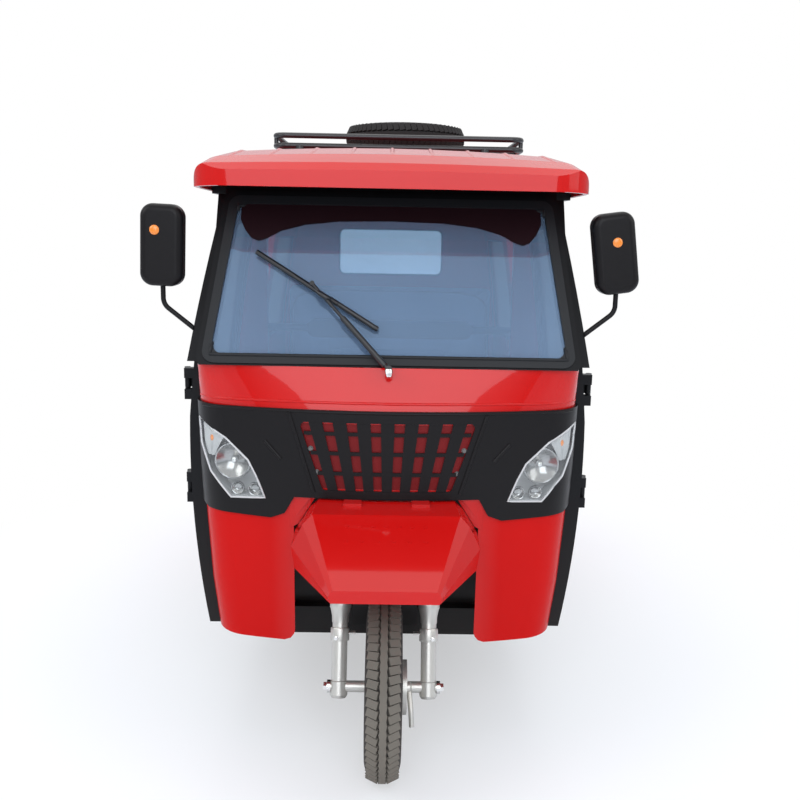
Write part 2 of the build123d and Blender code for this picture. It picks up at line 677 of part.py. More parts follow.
# Rear quarters with round wheel arches and a side window each
QUARTER_CORNER = 42.0
QUARTER_WINDOW = [
    (QUARTER_Y + 90.0, 1040.0),
    (QUARTER_Y + 140.0, 1500.0),
    (WALL_Y - 90.0, 1500.0),
    (WALL_Y - 90.0, 1040.0),
]
for side in BOTH_SIDES:
    word = "left" if side < 0 else "right"
    with BuildPart() as quarter:
        add(side_band(side, 0.0, SIDE_T, QUARTER_Y, WALL_Y))
        side_prism(QUARTER_WINDOW, QUARTER_CORNER, mode=Mode.SUBTRACT)
        arch_in = (side * ARCH_IN, REAR_AXLE_Y, TYRE_R)
        arch_out = (side * SIDE_REACH, REAR_AXLE_Y, TYRE_R)
        rod(arch_in, arch_out, ARCH_R, mode=Mode.SUBTRACT)
    keep(quarter, f"rear_quarter_{word}")
with BuildPart() as quarter_windows:
    for side in BOTH_SIDES:
        add(side_band(side, -PANE_DEEP, PANE_T, QUARTER_Y, WALL_Y))
    side_prism(QUARTER_WINDOW, QUARTER_CORNER, SEAT_GAP, mode=Mode.INTERSECT)
keep(quarter_windows, "quarter_windows")

# Rear wall with its window
REAR_GLASS_HALF = 275.0
REAR_GLASS_LOW = 1303.0
REAR_GLASS_HIGH = 1545.0
REAR_GLASS_CORNER = 34.0
rear_hole = [
    (-REAR_GLASS_HALF, REAR_GLASS_LOW),
    (REAR_GLASS_HALF, REAR_GLASS_LOW),
    (REAR_GLASS_HALF, REAR_GLASS_HIGH),
    (-REAR_GLASS_HALF, REAR_GLASS_HIGH),
]
with BuildPart() as wall_top:
    wall_front = WALL_Y + SEAT_GAP
    block((-HEAD_HALF, wall_front, SIDE_TOP_Z - 10), (HEAD_HALF, wall_front + WALL_T, ROOF_CROWN_Z))
    add(ROOF_SEAT, mode=Mode.INTERSECT)
with BuildPart() as rear_wall:
    cross_wall(WALL_Y + SEAT_GAP, WALL_T, 0.0, SILL_Z, SIDE_TOP_Z)
    add(wall_top.part)
    outline(Plane.XZ.offset(-WALL_Y), rear_hole, -WALL_T - 1, REAR_GLASS_CORNER, mode=Mode.SUBTRACT)
    wall_foot = KICK_Z + RAIL_H + SEAT_GAP
    block((-700, WALL_Y - 50, 0), (700, WALL_Y + 100, wall_foot), mode=Mode.SUBTRACT)
keep(rear_wall, "rear_wall")
with BuildPart() as rear_window:
    outline(Plane.XZ.offset(-WALL_Y - 8), rear_hole, -PANE_T, REAR_GLASS_CORNER, SEAT_GAP)
keep(rear_window, "rear_window")

# Roof panel: visor, crowned middle and a rounded tail
with BuildPart() as roof:
    add(ROOF_OUTER)
    add(ROOF_INNER, mode=Mode.SUBTRACT)
keep(roof, "roof_panel")

# Rails under the roof edge, from the pillars to the rear wall
RAIL_TOP_W = 34.0
with BuildPart() as roof_rails:
    for side in BOTH_SIDES:
        inner = sorted((side * (HEAD_HALF - RAIL_TOP_W), side * ROOF_HALF))
        block((inner[0], PILLAR_HEAD_Y - 40, SIDE_TOP_Z + SEAT_GAP), (inner[1], WALL_Y, ROOF_EDGE_Z + 20))
    add(ROOF_SEAT, mode=Mode.INTERSECT)
keep(roof_rails, "roof_rails")


def crown_height(x):
    """Height of the middle of the roof at width x."""
    crown_r = LIP_ROWS[-1][5]
    return ROOF_CROWN_Z - crown_r + sqrt(crown_r * crown_r - x * x)


# Roof rack: floor of cross bars, raised rail and feet on the crown
RACK_BARS = 5
RACK_BEND = 40.0
RACK_LEGS = 4
FOOT_X = 370.0
FOOT_R = 18.0
RACK_MID_Y = (RACK_FRONT_Y + RACK_REAR_Y) / 2
with BuildPart() as rack:
    left = RACK_X - RACK_HALF
    right = RACK_X + RACK_HALF
    for level in (RACK_FLOOR_Z, RACK_RAIL_Z):
        corners = [
            (left, RACK_FRONT_Y, level),
            (right, RACK_FRONT_Y, level),
            (right, RACK_REAR_Y, level),
            (left, RACK_REAR_Y, level),
        ]
        tube_loop(corners, RACK_BEND, RACK_TUBE_R)
    for step in range(1, RACK_BARS - 1):
        y = RACK_FRONT_Y + (RACK_REAR_Y - RACK_FRONT_Y) * step / (RACK_BARS - 1)
        rod((left, y, RACK_FLOOR_Z), (right, y, RACK_FLOOR_Z), RACK_TUBE_R)
    for step in range(RACK_LEGS):
        y = RACK_FRONT_Y + RACK_BEND + (RACK_REAR_Y - RACK_FRONT_Y - 2 * RACK_BEND) * step / (RACK_LEGS - 1)
        for x in (left, right):
            rod((x, y, RACK_FLOOR_Z), (x, y, RACK_RAIL_Z), RACK_TUBE_R * 0.8)
    for y in (RACK_FRONT_Y, RACK_MID_Y, RACK_REAR_Y):
        for x in (-FOOT_X, FOOT_X):
            rod((x, y, crown_height(FOOT_X - FOOT_R) + SEAT_GAP), (x, y, RACK_FLOOR_Z), FOOT_R)
keep(rack, "roof_rack")


def tyre_part(centre, axis):
    """Tyre with round shoulders, turned about its axle."""
    half = TYRE_W / 2
    with BuildSketch(Plane.XZ) as section:
        with BuildLine():
            Polyline((BEAD_R + SEAT_GAP, -half * BEAD_SHARE), (BEAD_R + 30, -half * 0.92))
            ThreePointArc((BEAD_R + 30, -half * 0.92), (BEAD_R + 58, -half), (TYRE_R - 22, -half * 0.86))
            ThreePointArc((TYRE_R - 22, -half * 0.86), (TYRE_R, 0), (TYRE_R - 22, half * 0.86))
            ThreePointArc((TYRE_R - 22, half * 0.86), (BEAD_R + 58, half), (BEAD_R + 30, half * 0.92))
            Polyline((BEAD_R + 30, half * 0.92), (BEAD_R + SEAT_GAP, half * BEAD_SHARE))
            Line((BEAD_R + SEAT_GAP, half * BEAD_SHARE), (BEAD_R + SEAT_GAP, -half * BEAD_SHARE))
        make_face()
    with BuildPart() as ring:
        revolve(section.sketch, axis=Axis.Z)
    return Plane(origin=centre, z_dir=axis) * ring.part


def rim_part(centre, axis, hub_low, hub_high, bore):
    """Pressed steel wheel: dropped rim, disc with round holes, hub with a bore."""
    half = RIM_W / 2
    with BuildSketch(Plane.XZ) as section:
        with BuildLine():
            Polyline(
                (BEAD_R + 12, -half - 2),
                (BEAD_R, -half + 4),
                (BEAD_R, -half + 20),
                (BEAD_R - 18, -half + 28),
                (BEAD_R - 18, half - 28),
                (BEAD_R, half - 20),
                (BEAD_R, half - 4),
                (BEAD_R + 12, half + 2),
                (BEAD_R + 8, half + 3),
                (BEAD_R - 6, half - 3),
                (BEAD_R - 6, half - 16),
                (BEAD_R - 23, half - 24),
                (BEAD_R - 23, -half + 24),
                (BEAD_R - 6, -half + 16),
                (BEAD_R - 6, -half + 3),
                (BEAD_R + 8, -half - 3),
                close=True,
            )
        make_face()
    with BuildPart() as wheel:
        revolve(section.sketch, axis=Axis.Z)
        with Locations((0, 0, 0)):
            Cylinder(BEAD_R - 20, 8)
        with PolarLocations((BEAD_R + HUB_R) / 2 - 8, 8):
            Cylinder(15, 40, mode=Mode.SUBTRACT)
        with Locations((0, 0, (hub_low + hub_high) / 2)):
            Cylinder(HUB_R, hub_high - hub_low)
            Cylinder(bore, hub_high - hub_low + 4, mode=Mode.SUBTRACT)
    return Plane(origin=centre, z_dir=axis) * wheel.part


def keep_shape(shape, label):
    """Label a placed shape and write it."""
    shape.label = label
    export_step(shape, f"parts/{label}.step")


# Spare wheel lying flat on the rack floor
SPARE_X = RACK_X + 30.0
SPARE_Y = REAR_AXLE_Y - 300.0
SPARE_Z = RACK_FLOOR_Z + RACK_TUBE_R + SEAT_GAP + TYRE_W / 2
SPARE_AT = (SPARE_X, SPARE_Y, SPARE_Z)
keep_shape(tyre_part(SPARE_AT, (0, 0, 1)), "spare_tyre")
keep_shape(rim_part(SPARE_AT, (0, 0, 1), -24, 10, SPINDLE_R), "spare_rim")

# Running wheels
FRONT_AT = (0, FRONT_AXLE_Y, TYRE_R)
HUB_HALF = 52.0
keep_shape(tyre_part(FRONT_AT, (1, 0, 0)), "front_tyre")
keep_shape(rim_part(FRONT_AT, (1, 0, 0), -HUB_HALF, HUB_HALF, AXLE_R + RUNNING_FIT), "front_rim")
for side in BOTH_SIDES:
    word = "left" if side < 0 else "right"
    centre = (side * REAR_TRACK_HALF, REAR_AXLE_Y, TYRE_R)
    keep_shape(tyre_part(centre, (side, 0, 0)), f"rear_tyre_{word}")
    keep_shape(rim_part(centre, (side, 0, 0), -40, 30, SPINDLE_R + RUNNING_FIT), f"rear_rim_{word}")

# Mirrors on bent stems
MIRROR_OUT = 704.0
MIRROR_Y = FRONT_AXLE_Y + 190.0
MIRROR_Z = 1489.0
MIRROR_W = 119.0
MIRROR_H = 228.0
MIRROR_D = 52.0
MIRROR_CORNER = 36.0
MIRROR_EDGE = 20.0
MIRROR_LEAN = {-1: 2.0, 1: 8.0}
STEM_FOOT_Z = 1243.0
MIRROR_STEM_R = 7.0
for side in BOTH_SIDES:
    word = "left" if side < 0 else "right"
    lean = radians(MIRROR_LEAN[side])
    half_w = MIRROR_W / 2 - MIRROR_CORNER
    half_h = MIRROR_H / 2 - MIRROR_CORNER
    mirror_x = MIRROR_OUT - MIRROR_CORNER - half_w * cos(lean) - half_h * sin(lean)
    with BuildPart() as mirror:
        with Locations(Location((side * mirror_x, MIRROR_Y, MIRROR_Z), (0, -side * MIRROR_LEAN[side], 0))):
            Box(MIRROR_W, MIRROR_D, MIRROR_H)
        fillet(mirror.edges().filter_by(Axis.Y), MIRROR_CORNER)
        fillet(mirror.faces().sort_by(Axis.Y)[0].edges(), MIRROR_EDGE)
        stem_x = mirror_x + half_h * sin(lean)
        low = MIRROR_Z - MIRROR_H / 2
        bent_tube(
            [
                (side * stem_x, MIRROR_Y + 6, low + 20),
                (side * stem_x, MIRROR_Y + 6, low - 52),
                (side * (HEAD_HALF + 26), MIRROR_Y + 12, STEM_FOOT_Z),
            ],
            38.0,
            MIRROR_STEM_R,
        )
        add(PILLAR_BANDS[side], mode=Mode.SUBTRACT)
    solids = mirror.part.solids().sort_by(SortBy.VOLUME)
    keep_shape(solids[-1], f"mirror_{word}")

# Dashboard behind the cowl, carried by the pillars
DASH_FRONT_Y = FRONT_AXLE_Y + 135.0
DASH_REAR_Y = FRONT_AXLE_Y + 215.0
DASH_LOW_Z = 1062.0
DASH_HIGH_Z = 1150.0
DASH_HALF = 455.0
DASH_SKIN = front_solid(-PANEL_T - SEAT_GAP)
with BuildPart() as dashboard:
    block((-DASH_HALF, DASH_FRONT_Y, DASH_LOW_Z), (DASH_HALF, DASH_REAR_Y, DASH_HIGH_Z))
    block((-WAIST_HALF, FRONT_REAR_Y - 50, DASH_HIGH_Z - 40), (WAIST_HALF, PILLAR_REAR_Y - 6, DASH_HIGH_Z - 14))
    block((-DASH_HALF + 30, DASH_REAR_Y - 4, 0), (DASH_HALF - 30, 0, 2000), mode=Mode.SUBTRACT)
    for side in BOTH_SIDES:
        add(PILLAR_BANDS[side], mode=Mode.SUBTRACT)
    add(DASH_SKIN, mode=Mode.INTERSECT)
keep(dashboard, "dashboard")

# Chassis: two rails that kick up over the rear axle, cross members, neck and steering head
KICK_START_Y = REAR_AXLE_Y - 370.0
KICK_END_Y = REAR_AXLE_Y - 280.0
RAIL_FRONT_Y = FRONT_AXLE_Y + 350.0
RAIL_REAR_Y = REAR_AXLE_Y + 548.0
SPRING_X = 345.0
SPRING_W = 50.0
SPRING_FRONT_Y = REAR_AXLE_Y - 285.0
SPRING_REAR_Y = REAR_AXLE_Y + 285.0
SPRING_EYE_Z = KICK_Z - 12.0
HEAD_LOW_Z = 710.0
HEAD_HIGH_Z = 850.0
NECK_R = 22.0
CROSS_Z = RAIL_Z + 28.0
rail_side = [
    (RAIL_FRONT_Y, RAIL_Z),
    (KICK_START_Y, RAIL_Z),
    (KICK_END_Y, KICK_Z),
    (RAIL_REAR_Y, KICK_Z),
    (RAIL_REAR_Y, KICK_Z + RAIL_H),
    (KICK_END_Y, KICK_Z + RAIL_H),
    (KICK_START_Y, RAIL_Z + RAIL_H),
    (RAIL_FRONT_Y, RAIL_Z + RAIL_H),
]
with BuildPart() as chassis:
    for side in BOTH_SIDES:
        start = RAIL_X if side > 0 else -RAIL_X - RAIL_W
        outline(Plane.YZ.offset(start), rail_side, RAIL_W)
    front_cross = (RAIL_X + RAIL_W, RAIL_FRONT_Y + 40, FLOOR_Z + FLOOR_T)
    block((-RAIL_X - RAIL_W, RAIL_FRONT_Y, RAIL_Z), front_cross)
    for y in (HOOP_Y + 50.0, QUARTER_Y):
        block((-RAIL_X - 5, y, CROSS_Z), (RAIL_X + 5, y + 40, RAIL_Z + RAIL_H))
    for y in (KICK_END_Y + 40.0, RAIL_REAR_Y - 40):
        block((-RAIL_X - 5, y, KICK_Z + 5), (RAIL_X + 5, y + 40, KICK_Z + RAIL_H - 5))
    head_low = steer_point(HEAD_LOW_Z)
    head_high = steer_point(HEAD_HIGH_Z)
    rod(head_low, head_high, HEAD_R)
    for side in BOTH_SIDES:
        neck_top = (head_low + head_high) * 0.5 + Vector(side * 14, 12, -20)
        rod((side * 60, RAIL_FRONT_Y + 20, RAIL_Z + 30), neck_top, NECK_R)
        spring_in, spring_out = sorted((side * (RAIL_X + RAIL_W), side * (SPRING_X + SPRING_W / 2)))
        for y in (SPRING_FRONT_Y, SPRING_REAR_Y):
            block((spring_in, y - 14, SPRING_EYE_Z + SEAT_GAP), (spring_out, y + 14, KICK_Z + 25))
    rod(steer_point(HEAD_LOW_Z - 40), steer_point(HEAD_HIGH_Z + 40), STEM_R + RUNNING_FIT, mode=Mode.SUBTRACT)
keep(chassis, "chassis_frame")

# Floor with an opening for the engine, and the upright wall ahead of the driver's feet
ENGINE_Y = (FRONT_AXLE_Y + 630.0, FRONT_AXLE_Y + 870.0)
ENGINE_HALF = 150.0
ENGINE_Z = (215.0, 560.0)
SEAT_BOX_Y = (FRONT_AXLE_Y + 550.0, FRONT_AXLE_Y + 900.0)
SEAT_BOX_HALF = 230.0
SEAT_BOX_Z = 640.0
WALL_SHEET = 10.0
with BuildPart() as floor_pan:
    floor_half = SILL_HALF - SIDE_T - 2
    block((-floor_half, BULKHEAD_Y, FLOOR_Z), (floor_half, KICK_START_Y, FLOOR_Z + FLOOR_T))
    for side in BOTH_SIDES:
        sill = sorted((side * (floor_half - 1), side * (SILL_HALF - 4)))
        low = (sill[0], PILLAR_REAR_Y + SEAT_GAP, FLOOR_Z)
        block(low, (sill[1], QUARTER_Y - SEAT_GAP, FLOOR_Z + FLOOR_T))
    low = (-SEAT_BOX_HALF + WALL_SHEET, SEAT_BOX_Y[0] + WALL_SHEET, 0)
    high = (SEAT_BOX_HALF - WALL_SHEET, SEAT_BOX_Y[1] - WALL_SHEET, 1000)
    block(low, high, mode=Mode.SUBTRACT)
keep(floor_pan, "floor_pan")

FOOT_WALL_Z = 850.0
FOOT_HALF = SILL_HALF - PILLAR_T - 4.0
with BuildPart() as foot_wall:
    floor_top = FLOOR_Z + FLOOR_T
    block((-FOOT_HALF, BULKHEAD_Y, floor_top), (FOOT_HALF, BULKHEAD_Y + WALL_SHEET, FOOT_WALL_Z))
    for side in BOTH_SIDES:
        cheek = sorted((side * (FOOT_HALF - WALL_SHEET), side * FOOT_HALF))
        block((cheek[0], FRONT_REAR_Y, floor_top), (cheek[1], BULKHEAD_Y + 4, FOOT_WALL_Z))
    for side in BOTH_SIDES:
        add(PILLAR_BANDS[side], mode=Mode.SUBTRACT)
keep(foot_wall, "foot_wall")

# Driver's seat on its box over the engine
CUSHION_T = 90.0
SEAT_HALF = 225.0
SEAT_BACK_TOP = 1120.0
with BuildPart() as seat_box:
    low_z = FLOOR_Z + FLOOR_T
    block((-SEAT_BOX_HALF, SEAT_BOX_Y[0], low_z), (SEAT_BOX_HALF, SEAT_BOX_Y[1], SEAT_BOX_Z))
    low = (-SEAT_BOX_HALF + WALL_SHEET, SEAT_BOX_Y[0] + WALL_SHEET, low_z)
    high = (SEAT_BOX_HALF - WALL_SHEET, SEAT_BOX_Y[1] - WALL_SHEET, SEAT_BOX_Z - WALL_SHEET)
    block(low, high, mode=Mode.SUBTRACT)
keep(seat_box, "driver_seat_box")
with BuildPart() as cushion:
    seat_low = (-SEAT_HALF, SEAT_BOX_Y[0] - 10, SEAT_BOX_Z + SEAT_GAP)
    block(seat_low, (SEAT_HALF, HOOP_Y - 62, SEAT_BOX_Z + CUSHION_T))
    fillet(cushion.edges(), 25)
keep(cushion, "driver_cushion")
with BuildPart() as backrest:
    block((-SEAT_HALF, HOOP_Y - 61, SEAT_BOX_Z + 20), (SEAT_HALF, HOOP_Y - SEAT_GAP, SEAT_BACK_TOP))
    fillet(backrest.edges(), 22)
keep(backrest, "driver_backrest")

# Engine as one block with its feet on the rails
with BuildPart() as engine:
    block((-ENGINE_HALF, ENGINE_Y[0], ENGINE_Z[0]), (ENGINE_HALF, ENGINE_Y[1], ENGINE_Z[1]))
    fillet(engine.edges().filter_by(Axis.Z), 30)
    block((-RAIL_X, ENGINE_Y[0] + 90, RAIL_Z + 8), (RAIL_X, ENGINE_Y[0] + 130, RAIL_Z + 40))
keep(engine, "engine_block")

# Rear tub: riser, wheel boxes and deck, with the bench on it
TUB_IN = 440.0
DECK_T = 12.0
BENCH_DEPTH = 470.0
BENCH_BASE_Z = 660.0
BENCH_BACK_TOP = 1270.0
with BuildPart() as rear_tub:
    floor_top = FLOOR_Z + FLOOR_T
    riser_half = SILL_HALF - SIDE_T - 2
    block((-riser_half, KICK_START_Y, FLOOR_Z), (riser_half, KICK_START_Y + WALL_SHEET, DECK_Z + DECK_T))
    block((-WAIST_HALF, KICK_START_Y, DECK_Z), (WAIST_HALF, WALL_Y, DECK_Z + DECK_T))
    for side in BOTH_SIDES:
        cheek = sorted((side * TUB_IN, side * (TUB_IN + WALL_SHEET)))
        block((cheek[0], KICK_START_Y, KICK_Z + RAIL_H), (cheek[1], WALL_Y, DECK_Z))
    tub_side = TUB_IN + WALL_SHEET
    block((-tub_side, KICK_END_Y, KICK_Z + RAIL_H), (tub_side, WALL_Y, KICK_Z + RAIL_H + 8))
    for side in BOTH_SIDES:
        rail_cut = sorted((side * (RAIL_X - 1), side * (RAIL_X + RAIL_W + 1)))
        rail_low = (rail_cut[0], KICK_START_Y - 1, 0)
        block(rail_low, (rail_cut[1], KICK_END_Y + 1, KICK_Z + RAIL_H), mode=Mode.SUBTRACT)
        add(side_band(side, SIDE_T, 2 * SIDE_T + SEAT_GAP, QUARTER_Y, WALL_Y), mode=Mode.SUBTRACT)
keep(rear_tub, "rear_tub")
with BuildPart() as bench_base:
    deck_top = DECK_Z + DECK_T
    back_y = BENCH_Y + BENCH_DEPTH + 90
    block((-BENCH_BOX_HALF, BENCH_Y, deck_top), (BENCH_BOX_HALF, back_y, BENCH_BASE_Z))
    hollow_half = BENCH_BOX_HALF - 10
    hollow_high = (hollow_half, back_y - 10, BENCH_BASE_Z - WALL_SHEET)
    block((-hollow_half, BENCH_Y + WALL_SHEET, deck_top), hollow_high, mode=Mode.SUBTRACT)
    block((-500, back_y, deck_top), (500, back_y + 14, BENCH_BACK_TOP - 30))
keep(bench_base, "bench_base")
with BuildPart() as bench_cushion:
    seat_low = (-BENCH_HALF, BENCH_Y - 15, BENCH_BASE_Z + SEAT_GAP)
    block(seat_low, (BENCH_HALF, BENCH_Y + BENCH_DEPTH, BENCH_BASE_Z + CUSHION_T + 15))
    fillet(bench_cushion.edges(), 28)
keep(bench_cushion, "bench_cushion")
with BuildPart() as bench_backrest:
    low = (-BENCH_HALF, BENCH_Y + BENCH_DEPTH + 1, BENCH_BASE_Z + SEAT_GAP)
    high = (BENCH_HALF, BENCH_Y + BENCH_DEPTH + 90 - SEAT_GAP, BENCH_BACK_TOP)
    block(low, high)
    fillet(bench_backrest.edges(), 28)
keep(bench_backrest, "bench_backrest")

# Rear axle, shaft, springs and exhaust
AXLE_TUBE_R = 35.0
DIFF_R = 105.0
AXLE_END = REAR_TRACK_HALF - 46.0
SPINDLE_END = REAR_TRACK_HALF + 42.0
with BuildPart() as rear_axle:
    centre = (0, REAR_AXLE_Y, TYRE_R)
    rod((-AXLE_END, REAR_AXLE_Y, TYRE_R), (AXLE_END, REAR_AXLE_Y, TYRE_R), AXLE_TUBE_R)
    rod((-SPINDLE_END, REAR_AXLE_Y, TYRE_R), (SPINDLE_END, REAR_AXLE_Y, TYRE_R), SPINDLE_R)
    with Locations(centre):
        Sphere(DIFF_R)
    rod((0, REAR_AXLE_Y - DIFF_R - 25, TYRE_R), (0, REAR_AXLE_Y, TYRE_R), 38)
    for side in BOTH_SIDES:
        cap = (side * (SPINDLE_END - 6), REAR_AXLE_Y, TYRE_R)
        rod(cap, (side * (SPINDLE_END + 6), REAR_AXLE_Y, TYRE_R), SPINDLE_R * 1.5)
        pad = sorted((side * (SPRING_X - SPRING_W / 2), side * (SPRING_X + SPRING_W / 2)))
        block((pad[0], REAR_AXLE_Y - 45, TYRE_R), (pad[1], REAR_AXLE_Y + 45, TYRE_R + AXLE_TUBE_R + 6))
keep(rear_axle, "rear_axle")

PROP_R = 20.0
with BuildPart() as propshaft:
    rod((0, ENGINE_Y[1] + SEAT_GAP, TYRE_R), (0, REAR_AXLE_Y - DIFF_R - 25 - SEAT_GAP, TYRE_R), PROP_R)
    for y in (ENGINE_Y[1] + SEAT_GAP, REAR_AXLE_Y - DIFF_R - 65 - SEAT_GAP):
        rod((0, y, TYRE_R), (0, y + 40, TYRE_R), PROP_R * 1.6)
keep(propshaft, "propshaft")

SPRING_T = 22.0
SPRING_SEAT_Z = TYRE_R + AXLE_TUBE_R + 6 + SEAT_GAP
with BuildPart() as springs:
    for side in BOTH_SIDES:
        start = SPRING_X - SPRING_W / 2 if side > 0 else -SPRING_X - SPRING_W / 2
        eye_low = SPRING_EYE_Z - SPRING_T
        with BuildSketch(Plane.YZ.offset(start)) as leaf:
            with BuildLine():
                rear_foot = (SPRING_REAR_Y + 14, eye_low)
                ThreePointArc((SPRING_FRONT_Y - 14, eye_low), (REAR_AXLE_Y, SPRING_SEAT_Z), rear_foot)
                Line(rear_foot, (SPRING_REAR_Y + 14, SPRING_EYE_Z))
                ThreePointArc(
                    (SPRING_REAR_Y + 14, SPRING_EYE_Z),
                    (REAR_AXLE_Y, SPRING_SEAT_Z + SPRING_T),
                    (SPRING_FRONT_Y - 14, SPRING_EYE_Z),
                )
                Line((SPRING_FRONT_Y - 14, SPRING_EYE_Z), (SPRING_FRONT_Y - 14, eye_low))
            make_face()
        extrude(leaf.sketch, amount=SPRING_W)
keep(springs, "leaf_springs")

MUFFLER_X = -185.0
MUFFLER_R = 52.0
MUFFLER_Z = 285.0
MUFFLER_Y = (REAR_AXLE_Y - 350.0, REAR_AXLE_Y - 70.0)
PIPE_R = 17.0
PIPE_Z = 240.0
with BuildPart() as exhaust:
    rod((MUFFLER_X, MUFFLER_Y[0], MUFFLER_Z), (MUFFLER_X, MUFFLER_Y[1], MUFFLER_Z), MUFFLER_R)
    rod((-120, ENGINE_Y[1] + SEAT_GAP, PIPE_Z), (MUFFLER_X, MUFFLER_Y[0] + 10, PIPE_Z + 8), PIPE_R)
    rod((MUFFLER_X, MUFFLER_Y[1] - 10, MUFFLER_Z + 28), (MUFFLER_X - 10, RAIL_REAR_Y - 60, KICK_Z - 22), PIPE_R)
    block((MUFFLER_X - 12, KICK_END_Y + 45, MUFFLER_Z), (MUFFLER_X + 12, KICK_END_Y + 75, KICK_Z + 5))
keep(exhaust, "exhaust")

# Bumper and tail lamps
BUMPER_HALF = 480.0
TOW_HOLE_R = 11.0
TOW_HOLE_Y = RAIL_REAR_Y + 16.0
with BuildPart() as bumper:
    block((-BUMPER_HALF, RAIL_REAR_Y, KICK_Z - 5), (BUMPER_HALF, TAIL_Y, KICK_Z + RAIL_H + 5))
    fillet(bumper.faces().sort_by(Axis.Y)[-1].edges(), 14)
    rod((0, TOW_HOLE_Y, KICK_Z - 10), (0, TOW_HOLE_Y, KICK_Z + RAIL_H + 10), TOW_HOLE_R, mode=Mode.SUBTRACT)
keep(bumper, "rear_bumper")

LAMP_X = 492.0
TAIL_LAMP_W = 92.0
TAIL_LAMP_Z = (640.0, 830.0)
TAIL_LAMP_D = 26.0
with BuildPart() as tail_lamps:
    wall_back = WALL_Y + WALL_T + SEAT_GAP
    for side in BOTH_SIDES:
        span = sorted((side * (LAMP_X - TAIL_LAMP_W / 2), side * (LAMP_X + TAIL_LAMP_W / 2)))
        block((span[0], wall_back, TAIL_LAMP_Z[0]), (span[1], wall_back + TAIL_LAMP_D, TAIL_LAMP_Z[1]))
    fillet(tail_lamps.edges().filter_by(Axis.Y), 20)
    fillet(tail_lamps.faces().sort_by(Axis.Y)[-2:].edges(), 8)
keep(tail_lamps, "tail_lamps")

# Front fork: yokes, telescopic legs, axle, brake plate and the stem in the steering head
YOKE_T = 26.0
TAB_Z = 515.0
TAB_LONG = 60.0
YOKE_HALF = 158.0
YOKE_CORNER = 10.0
YOKE_EDGE = [
    (-YOKE_HALF, -FORK_OFFSET - 30),
    (YOKE_HALF, -FORK_OFFSET - 30),
    (YOKE_HALF, -FORK_OFFSET + 20),
    (30, 22),
    (-30, 22),
    (-YOKE_HALF, -FORK_OFFSET + 20),
]
BRAKE_R = 76.0


# Front mudguard, from its tip back under the chin
# Columns: reach behind the axle, then half width and height of the crown, the chamfer,
# the widest line and the foot
MUDGUARD_ROWS = [
    (-290.0, 129.0, 667.0, 137.0, 660.0, 141.0, 650.0, 135.0, 634.0),
    (-40.0, 201.0, 782.0, 228.0, 752.0, 259.0, 690.0, 250.0, 628.0),
    (78.0, 192.0, 791.0, 216.0, 768.0, 259.0, 700.0, 254.0, 616.0),
]
MUDGUARD_T = 5.0


def steer_plane(z):
    return Plane(origin=steer_point(z), x_dir=(1, 0, 0), z_dir=STEER_UP)


with BuildPart() as fork:
    for z in (LOWER_YOKE_Z, UPPER_YOKE_Z):
        outline(steer_plane(z), YOKE_EDGE, -YOKE_T if z == LOWER_YOKE_Z else YOKE_T, YOKE_CORNER)
    rod(steer_point(LOWER_YOKE_Z), steer_point(STEM_TOP_Z), STEM_R)
    for side in BOTH_SIDES:
        rod(leg_point(side, 232), leg_point(side, 560), SLIDER_R)
        rod(leg_point(side, 545), leg_point(side, 575), SLIDER_R + 5)
        rod(leg_point(side, 560), leg_point(side, UPPER_YOKE_Z + 40), STANCHION_R)
        tab = sorted((side * TYRE_W, side * LEG_X))
        tab_at = leg_point(side, TAB_Z)
        block((tab[0], tab_at.Y - TAB_LONG / 2, TAB_Z), (tab[1], tab_at.Y + TAB_LONG / 2, TAB_Z + 10))
        rod((side * LEG_X, FRONT_AXLE_Y, TYRE_R), (side * AXLE_NUT_X, FRONT_AXLE_Y, TYRE_R), 15)
    rod((-AXLE_NUT_X, FRONT_AXLE_Y, TYRE_R), (AXLE_NUT_X, FRONT_AXLE_Y, TYRE_R), AXLE_R)
    rod((HUB_HALF + 2, FRONT_AXLE_Y, TYRE_R), (HUB_HALF + 14, FRONT_AXLE_Y, TYRE_R), BRAKE_R)
    rod((HUB_HALF + 10, FRONT_AXLE_Y, TYRE_R), (LEG_X, FRONT_AXLE_Y, TYRE_R), 16)
    rod((-HUB_HALF - 2, FRONT_AXLE_Y, TYRE_R), (-LEG_X, FRONT_AXLE_Y, TYRE_R), 16)
keep(fork, "front_fork")

# Handlebar with a clamp on the stem
BAR_R = 11.0
GRIP_R = 17.0
BAR_HALF = 330.0
with BuildPart() as handlebar:
    top = steer_point(STEM_TOP_Z)
    rod(top + STEER_UP * SEAT_GAP, top + STEER_UP * 40, STEM_R + 6)
    bar_mid = top + STEER_UP * 28
    sweep_back = Vector(0, 95, -12)
    points = [
        Vector(-BAR_HALF, bar_mid.Y, bar_mid.Z) + sweep_back,
        Vector(-BAR_HALF * 0.45, bar_mid.Y, bar_mid.Z),
        Vector(BAR_HALF * 0.45, bar_mid.Y, bar_mid.Z),
        Vector(BAR_HALF, bar_mid.Y, bar_mid.Z) + sweep_back,
    ]
    bent_tube(points, 60.0, BAR_R)
    for end, near in ((points[0], points[1]), (points[3], points[2])):
        inward = (near - end).normalized()
        rod(end, end + inward * 115, GRIP_R)
keep(handlebar, "handlebar")

